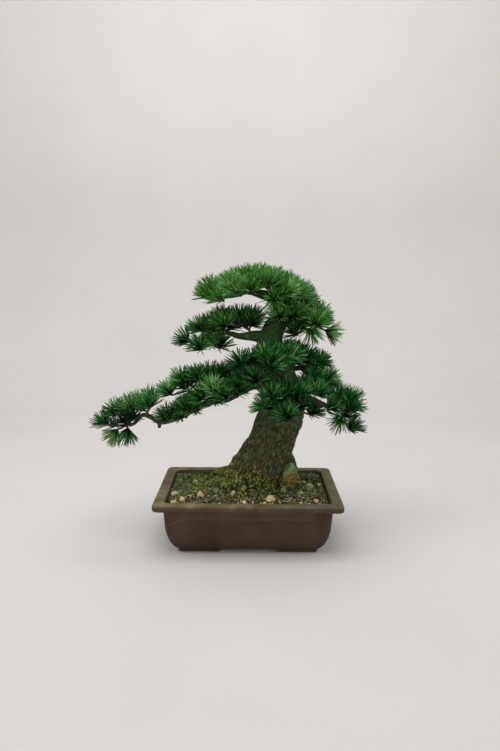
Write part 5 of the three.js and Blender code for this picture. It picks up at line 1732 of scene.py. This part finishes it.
def plan_spray(limb, hub, fork, tufts):
    """A spray's seat, its fork, and the foot, place and direction of each of its tufts."""
    bases = np.array([tuft[:3] for tuft in tufts], dtype=float)
    middle = bases.mean(axis=0)
    seat = nearest_on_limb(LIMBS[limb][0], middle if fork is None else np.array(fork, dtype=float))
    share = FORK_SHARE
    place = None if fork is None else np.array(fork, dtype=float)
    while place is None:
        point = seat + (middle - seat) * share
        if share > 0.9 or nearest_wood(point[None])[1][0] > STEM_RADIUS + 1:
            place = point
        share += 0.1
    foot = place - SHOOT_SINK * unit(place - seat)
    ways = [tuft[3:] or np.subtract(tuft[:3], hub) * (1, UPRIGHT, 1) for tuft in tufts]
    return seat, place, foot, bases, unit(np.array(ways, dtype=float))


sprays = {}
for pad, limb, hub, pad_sprays in PADS:
    for number, (fork, tufts) in enumerate(pad_sprays, start=1):
        sprays[f"{pad}_{number}"] = plan_spray(limb, hub, fork, tufts)
print("sprays:", len(sprays))

# %% [markdown]
# ### Needles in bulk
#
# One needle is a slim three-sided spike that bends a little on its way to the tip. A tuft sets its
# needles round the last few millimetres of the shoot. The lower ones lean out by up to 70 degrees
# and the upper ones stand near the shoot's own direction, which gives the open brush of a pine.
# Real needles are about 1 mm wide and grow in pairs. These are 1.7 to 2.4 mm wide, so that single
# needles still show at this distance, and each stands for a pair.

# %% Needles
NEEDLE_LENGTH = 37
NEEDLE_WIDTH = (1.7, 2.4)
NEEDLE_BEND = 0.018
NEEDLE_LEVELS = ((0.0, 0.7), (0.4, 1.0), (0.84, 0.8))
NEEDLE_POINTS = 3 * len(NEEDLE_LEVELS) + 1
WIDEST_LEAN = 70
HANGING_LEAN = 50
CORE_TIP = 6.6
GOLDEN_ANGLE = math.radians(137.508)
LOWEST_RISE = -0.22


def needles(roots, ways, lengths, widths, random):
    """Curved tapering needles as points and faces, with how far each point is along its needle."""
    side, other = any_sides(ways, random)
    bend = side * random.uniform(-1, 1, len(roots))[:, None] * NEEDLE_BEND
    rows = []
    for share, width in NEEDLE_LEVELS:
        centre = roots + lengths[:, None] * (ways * share + bend * share ** 2)
        for angle in np.radians([0, 120, 240]):
            out = math.cos(angle) * side + math.sin(angle) * other
            rows.append(centre + out * (width * widths / 2)[:, None])
    rows.append(roots + lengths[:, None] * (ways + bend))
    points = np.stack(rows, axis=1).reshape(-1, 3)
    quads, triangles = [], [(2, 1, 0)]
    for level in range(len(NEEDLE_LEVELS) - 1):
        for i in range(3):
            low, after = 3 * level + i, 3 * level + (i + 1) % 3
            quads.append((low, after, after + 3, low + 3))
    last = 3 * (len(NEEDLE_LEVELS) - 1)
    for i in range(3):
        triangles.append((last + i, last + (i + 1) % 3, last + 3))
    start = (NEEDLE_POINTS * np.arange(len(roots)))[:, None, None]
    along = np.tile([share for share, _ in NEEDLE_LEVELS for _ in range(3)] + [1.0], len(roots))
    quads, triangles = np.array(quads) + start, np.array(triangles) + start
    return points, quads.reshape(-1, 4), triangles.reshape(-1, 3), along


def tuft_needles(base, way, count, length, hanging, random):
    """Roots, directions and lengths of one tuft's needles. A hanging tuft is narrower."""
    number = np.arange(count)
    rise = (number + 0.5) / count
    side, other = level_sides(way)
    angle = number * GOLDEN_ANGLE + random.uniform(-0.35, 0.35, count)
    outward = np.cos(angle)[:, None] * side + np.sin(angle)[:, None] * other
    flattest = math.cos(math.radians(HANGING_LEAN if hanging else WIDEST_LEAN))
    lean = np.arccos(flattest + (1 - flattest) * rise ** 1.15) + np.radians(random.normal(0, 4, count))
    ways = np.cos(lean)[:, None] * way + np.sin(lean)[:, None] * outward
    ways = unit(ways + random.normal(0, 0.02, ways.shape))
    roots = base + way * (CORE_TIP * rise)[:, None] + outward * 1.1
    lengths = length * random.uniform(0.78, 1.02, count) * (1 - 0.1 * rise)
    kept = (ways[:, 2] > LOWEST_RISE) | hanging
    return roots[kept], ways[kept], lengths[kept]


print("a needle has", NEEDLE_POINTS, "points")

# %% Pine needle material
# A needle is a leaf with a thick waxy skin. The wax gives a soft broad sheen, and the green under it
# is deep, paler towards the tip and yellow-brown where the sheath holds it. Young needles are
# yellower. Each needle has its own tint, so a tuft never looks like one block. The dark at each
# needle's foot is also painted shade in the tuft's core, and the needles of the crown are painted
# lighter and yellower and the lowest ones a little darker, as painted light and shade.
def needle_material():
    """Waxy green needles, coloured by how far along they are, by each one's own tint and by painted light and
    shade.
    """
    material, add = new_material("waxy_pine_needles")
    place = add("TexCoord").outputs["Object"]
    along = add("Attribute", {"attribute_name": "along"}).outputs["Fac"]
    tint = add("Attribute", {"attribute_name": "tint"}).outputs["Fac"]
    young = add("Attribute", {"attribute_name": "young"}).outputs["Fac"]
    drift = add("TexNoise", {"Scale": per_mm(45), "Detail": 2}, {"Vector": place})
    # Partly painted shade: the needle's foot is dark as in the shaded core of a tuft, and the tip paler.
    tipward_and_foot_shade = add("MapRange", {1: 0.0, 2: 0.5, 3: -0.36, 4: 0.28}, {0: along})
    fading = add("MapRange", {1: 0.75, 2: 1.0, 3: 0.0, 4: -0.12}, {0: along})
    slow = add("MapRange", {1: 0.3, 2: 0.7, 3: -0.08, 4: 0.1}, {0: drift})
    own = add("MapRange", {1: 0.0, 2: 1.0, 3: -0.05, 4: 0.75}, {0: tint})
    first = add("Math", {"operation": "ADD"}, {0: tipward_and_foot_shade, 1: own})
    second = add("Math", {"operation": "ADD"}, {0: first, 1: fading})
    total = add("Math", {"operation": "ADD"}, {0: second, 1: slow})
    height = add("SeparateXYZ", {}, {0: place}).outputs["Z"]
    # Painted shade: the lower needles are a little darker.
    lower = add("MapRange", {1: 0.25, 2: 0.48, 3: -0.05, 4: 0.02}, {0: height})
    shaded = add("Math", {"operation": "ADD"}, {0: total, 1: lower})
    green = add("ValToRGB", {
        "stops": [(0.0, "#050d04"), (0.28, "#0d300d"), (0.55, "#1f6022"),
                  (0.8, "#3f983c"), (1.0, "#9ccb80")],
    }, {"Fac": shaded})
    # Painted light: the crown's needles are lighter and yellower, as light from above makes them.
    crown_painted_light = add("MapRange", {1: 0.38, 2: 0.48, 3: 0.0, 4: 0.3}, {0: height})
    crown_lit_green = add("Mix", {MIX_B: "#64962e"}, {0: crown_painted_light, MIX_A: green})
    fresh = add("Math", {"operation": "MULTIPLY"}, {0: young, 1: along})
    yellowed = add("Mix", {MIX_B: "#8f9a4c"}, {0: fresh, MIX_A: crown_lit_green})
    sheath = add("MapRange", {1: 0.0, 2: 0.12, 3: 0.6, 4: 0.0}, {0: along})
    sheathed = add("Mix", {MIX_B: "#4a4221"}, {0: sheath, MIX_A: yellowed})
    ribs = add("TexNoise", {"Scale": per_mm(1.2), "Detail": 2}, {"Vector": place})
    bump = add("Bump", {"Strength": 0.15, "Distance": 0.2 * MM}, {"Height": ribs})
    return coated(material, {"Base Color": sheathed, "Normal": bump}, {
        "Roughness": 0.38, "IOR": 1.45, "Specular IOR Level": 0.45,
    })


needle_finish = needle_material()
print("made", needle_finish.name)

# %% Fill tufts
FILL_BACK = (0.45, 0.9)
FILL_ASIDE = (3, 8)
MAIN_NEEDLES = 94
HANGING_NEEDLES = 60
FILL_NEEDLES = 34
FILL_SHADE = 0.28
# Tufts that sit on the long limb itself and lean out over its front: place and direction.
LIMB_TUFTS = {
    "left_1": [((-128, -12, 236), (-0.35, -0.4, 0.8)), ((-100, -15, 250), (-0.1, -0.4, 0.8))],
    "left_2": [((-62, -18, 268), (0.1, -0.4, 0.8)), ((-22, -20, 284), (-0.1, -0.4, 0.8))],
}
YOUNG_TUFTS = {("left_tip_1", 1): 0.7, ("upper_right_1", 1): 0.4, ("left_tip_2", 1): 0.25}


def side_bud(foot, base, way, random):
    """A smaller tuft lower on the shoot: where its twig leaves the shoot, its place and direction."""
    side, other = level_sides(way)
    angle = random.uniform(0, 2 * math.pi) + 2 * math.pi * random.uniform(-0.15, 0.15)
    outward = math.cos(angle) * side + math.sin(angle) * other
    origin = base + (foot - base) * random.uniform(*FILL_BACK)
    place = origin + outward * random.uniform(*FILL_ASIDE) + way * 2
    return origin, place, unit(way + 0.35 * outward)


def spray_parts(name, plan, random):
    """All needles of a spray as arrays, and its twigs as (path, radii)."""
    seat, fork, foot, bases, ways = plan
    twigs = [([seat, (seat + fork) / 2, fork], [STEM_RADIUS, 2.1])]
    sets = []
    for number, (base, way) in enumerate(zip(bases, ways)):
        young = YOUNG_TUFTS.get((name, number), 0.0)
        tone = random.normal(0.02, 0.15)
        bend = base * 0.5 + foot * 0.5 + random.uniform(-1.5, 1.5, 3)
        twigs.append(([foot, bend, base, base + way * CORE_TIP], [2.0, 1.9, 1.8, 0.7]))
        hanging = way[2] < -0.05
        count = HANGING_NEEDLES if hanging else MAIN_NEEDLES
        sets.append((*tuft_needles(base, way, count, NEEDLE_LENGTH, hanging, random), young, tone))
        if hanging:
            continue
        origin, place, bud_way = side_bud(foot, base, way, random)
        if nearest_wood(place[None])[1][0] > 3:
            middle = (origin + place) / 2 + random.uniform(-1, 1, 3)
            twigs.append(([origin, middle, place, place + bud_way * 4], [1.5, 1.3, 1.2, 0.6]))
            bud = tuft_needles(place, bud_way, FILL_NEEDLES, 0.93 * NEEDLE_LENGTH, False, random)
            # Painted shade: the side bud's tuft is darker by FILL_SHADE, as deeper in the pad.
            sets.append((*bud, young, tone - FILL_SHADE))
    for place, limb_way in LIMB_TUFTS.get(name, []):
        place, limb_way = np.array(place, dtype=float), unit(np.array(limb_way))
        sets.append((*tuft_needles(place, limb_way, MAIN_NEEDLES, NEEDLE_LENGTH, False, random), 0.0, 0.0))
        twigs.append(([place - limb_way * 8, place - limb_way * 4, place, place + limb_way * CORE_TIP],
                      [2.0, 1.9, 1.8, 0.7]))
    return sets, twigs


random = np.random.default_rng(SEED + 3)
all_twigs = {}
needle_total = 0
for name, plan in sprays.items():
    sets, twigs = spray_parts(name, plan, random)
    all_twigs.setdefault(name.rsplit("_", 1)[0], []).extend(twigs)
    roots, ways, lengths = (np.concatenate([s[i] for s in sets]) for i in range(3))
    young, tone = (np.concatenate([np.full(len(s[0]), s[i]) for s in sets]) for i in (3, 4))
    _, middle_gap = nearest_wood(roots + ways * lengths[:, None] * 0.5)
    _, tip_gap = nearest_wood(roots + ways * lengths[:, None])
    clear = (middle_gap > 0.5) & (tip_gap > 0.5)
    roots, ways, lengths, young, tone = (values[clear] for values in (roots, ways, lengths, young, tone))
    widths = random.uniform(*NEEDLE_WIDTH, len(roots))
    tint = np.clip(random.normal(0.46, 0.22, len(roots)) + tone, 0, 1)
    points, quads, triangles, along = needles(roots, ways, lengths, widths, random)
    piece_from(f"needles_{name}", points, (quads, triangles), needle_finish, [f"spray_{name}"], {
        "along": along,
        "tint": np.repeat(tint, NEEDLE_POINTS),
        "young": np.repeat(young * random.uniform(0.5, 1, len(roots)), NEEDLE_POINTS),
    }, smooth=False)
    needle_total += len(roots)
print("needles:", needle_total)

# %% [markdown]
# ### Twigs
#
# The shoots that carry the tufts are thin, knobbly and the colour of young bark. Each is a short
# tapering tube, and one piece holds all twigs of a pad.

# %% Twigs of each pad
TWIG_SIDES = 7


def twig_piece(pad, twigs):
    """All twigs of one pad as a mesh, with the bark's marks so that the same material fits."""
    made = [tube(path, radii, TWIG_SIDES, 3) for path, radii in twigs]
    points, quads, triangles = together([skin for skin, _ in made])
    along = [np.append(np.repeat(line["travel"], TWIG_SIDES), (0, line["travel"][-1])) for _, line in made]
    along = np.concatenate(along)
    piece_from(f"twigs_{pad}", points, (quads, triangles), twig_finish, (), {
        "plate": np.clip(0.6 + 0.5 * noise_at(points, 3), 0, 1),
        "grain": np.column_stack([points[:, :2], along]) * MM,
    })


twig_finish = bark_material("young_pine_bark", 0.35)
for pad, twigs in all_twigs.items():
    twig_piece(pad, twigs)
print("twigs:", sum(len(twigs) for twigs in all_twigs.values()))

# %% [markdown]
# ## Fallen needles
#
# Pines drop their old needles in pairs, and some always lie on the soil. They are dry and straw
# coloured, and lie nearly flat on the grit and the moss.

# %% Dry needles on the soil
FALLEN_COUNT = 34


def straw_material():
    """Dead needles: dry cellulose, straw to rust brown, with no wax left on them."""
    material, add = new_material("dry_fallen_needles")
    tint = add("Attribute", {"attribute_name": "tint"}).outputs["Fac"]
    tone = add("ValToRGB", {"stops": [(0.0, "#5a3f22"), (0.5, "#8a6f45"), (1.0, "#b9a37a")]}, {"Fac": tint})
    return coated(material, {"Base Color": tone}, {"Roughness": 0.8})


def lying(x, y):
    """The height of a needle that lies on the moss or on the grit."""
    share = moss_share(x, y)
    return np.where(share < 1, moss_top(x, y, share) + 3.2, soil_height(x, y) + 2.2)


random = np.random.default_rng(SEED + 4)
x = random.uniform(-135, 135, FALLEN_COUNT)
y = random.uniform(-88, 60, FALLEN_COUNT)
angle = random.uniform(0, 2 * math.pi, FALLEN_COUNT)
ways = np.column_stack([np.cos(angle), np.sin(angle), random.uniform(-0.05, 0.08, FALLEN_COUNT)])
lengths = random.uniform(11, 20, FALLEN_COUNT)
roots = np.column_stack([x, y, lying(x, y)])
ends = roots + ways * lengths[:, None]
inside = (np.abs(ends[:, 0]) < 140) & (np.abs(ends[:, 1]) < 90)
inside &= (nearest_wood(ends)[1] > 2) & (nearest_wood(roots)[1] > 2)
ways = unit(np.column_stack([ends[:, :2], lying(*ends[:, :2].T)]) - roots)
roots, ways, lengths = roots[inside], ways[inside], lengths[inside]
points, quads, triangles, _ = needles(roots, ways, lengths, np.full(len(roots), 1.0), random)
piece_from("fallen_needles", points, (quads, triangles), straw_material(), (), {
    "tint": np.repeat(random.random(len(roots)), NEEDLE_POINTS),
})
print("fallen needles:", len(roots))
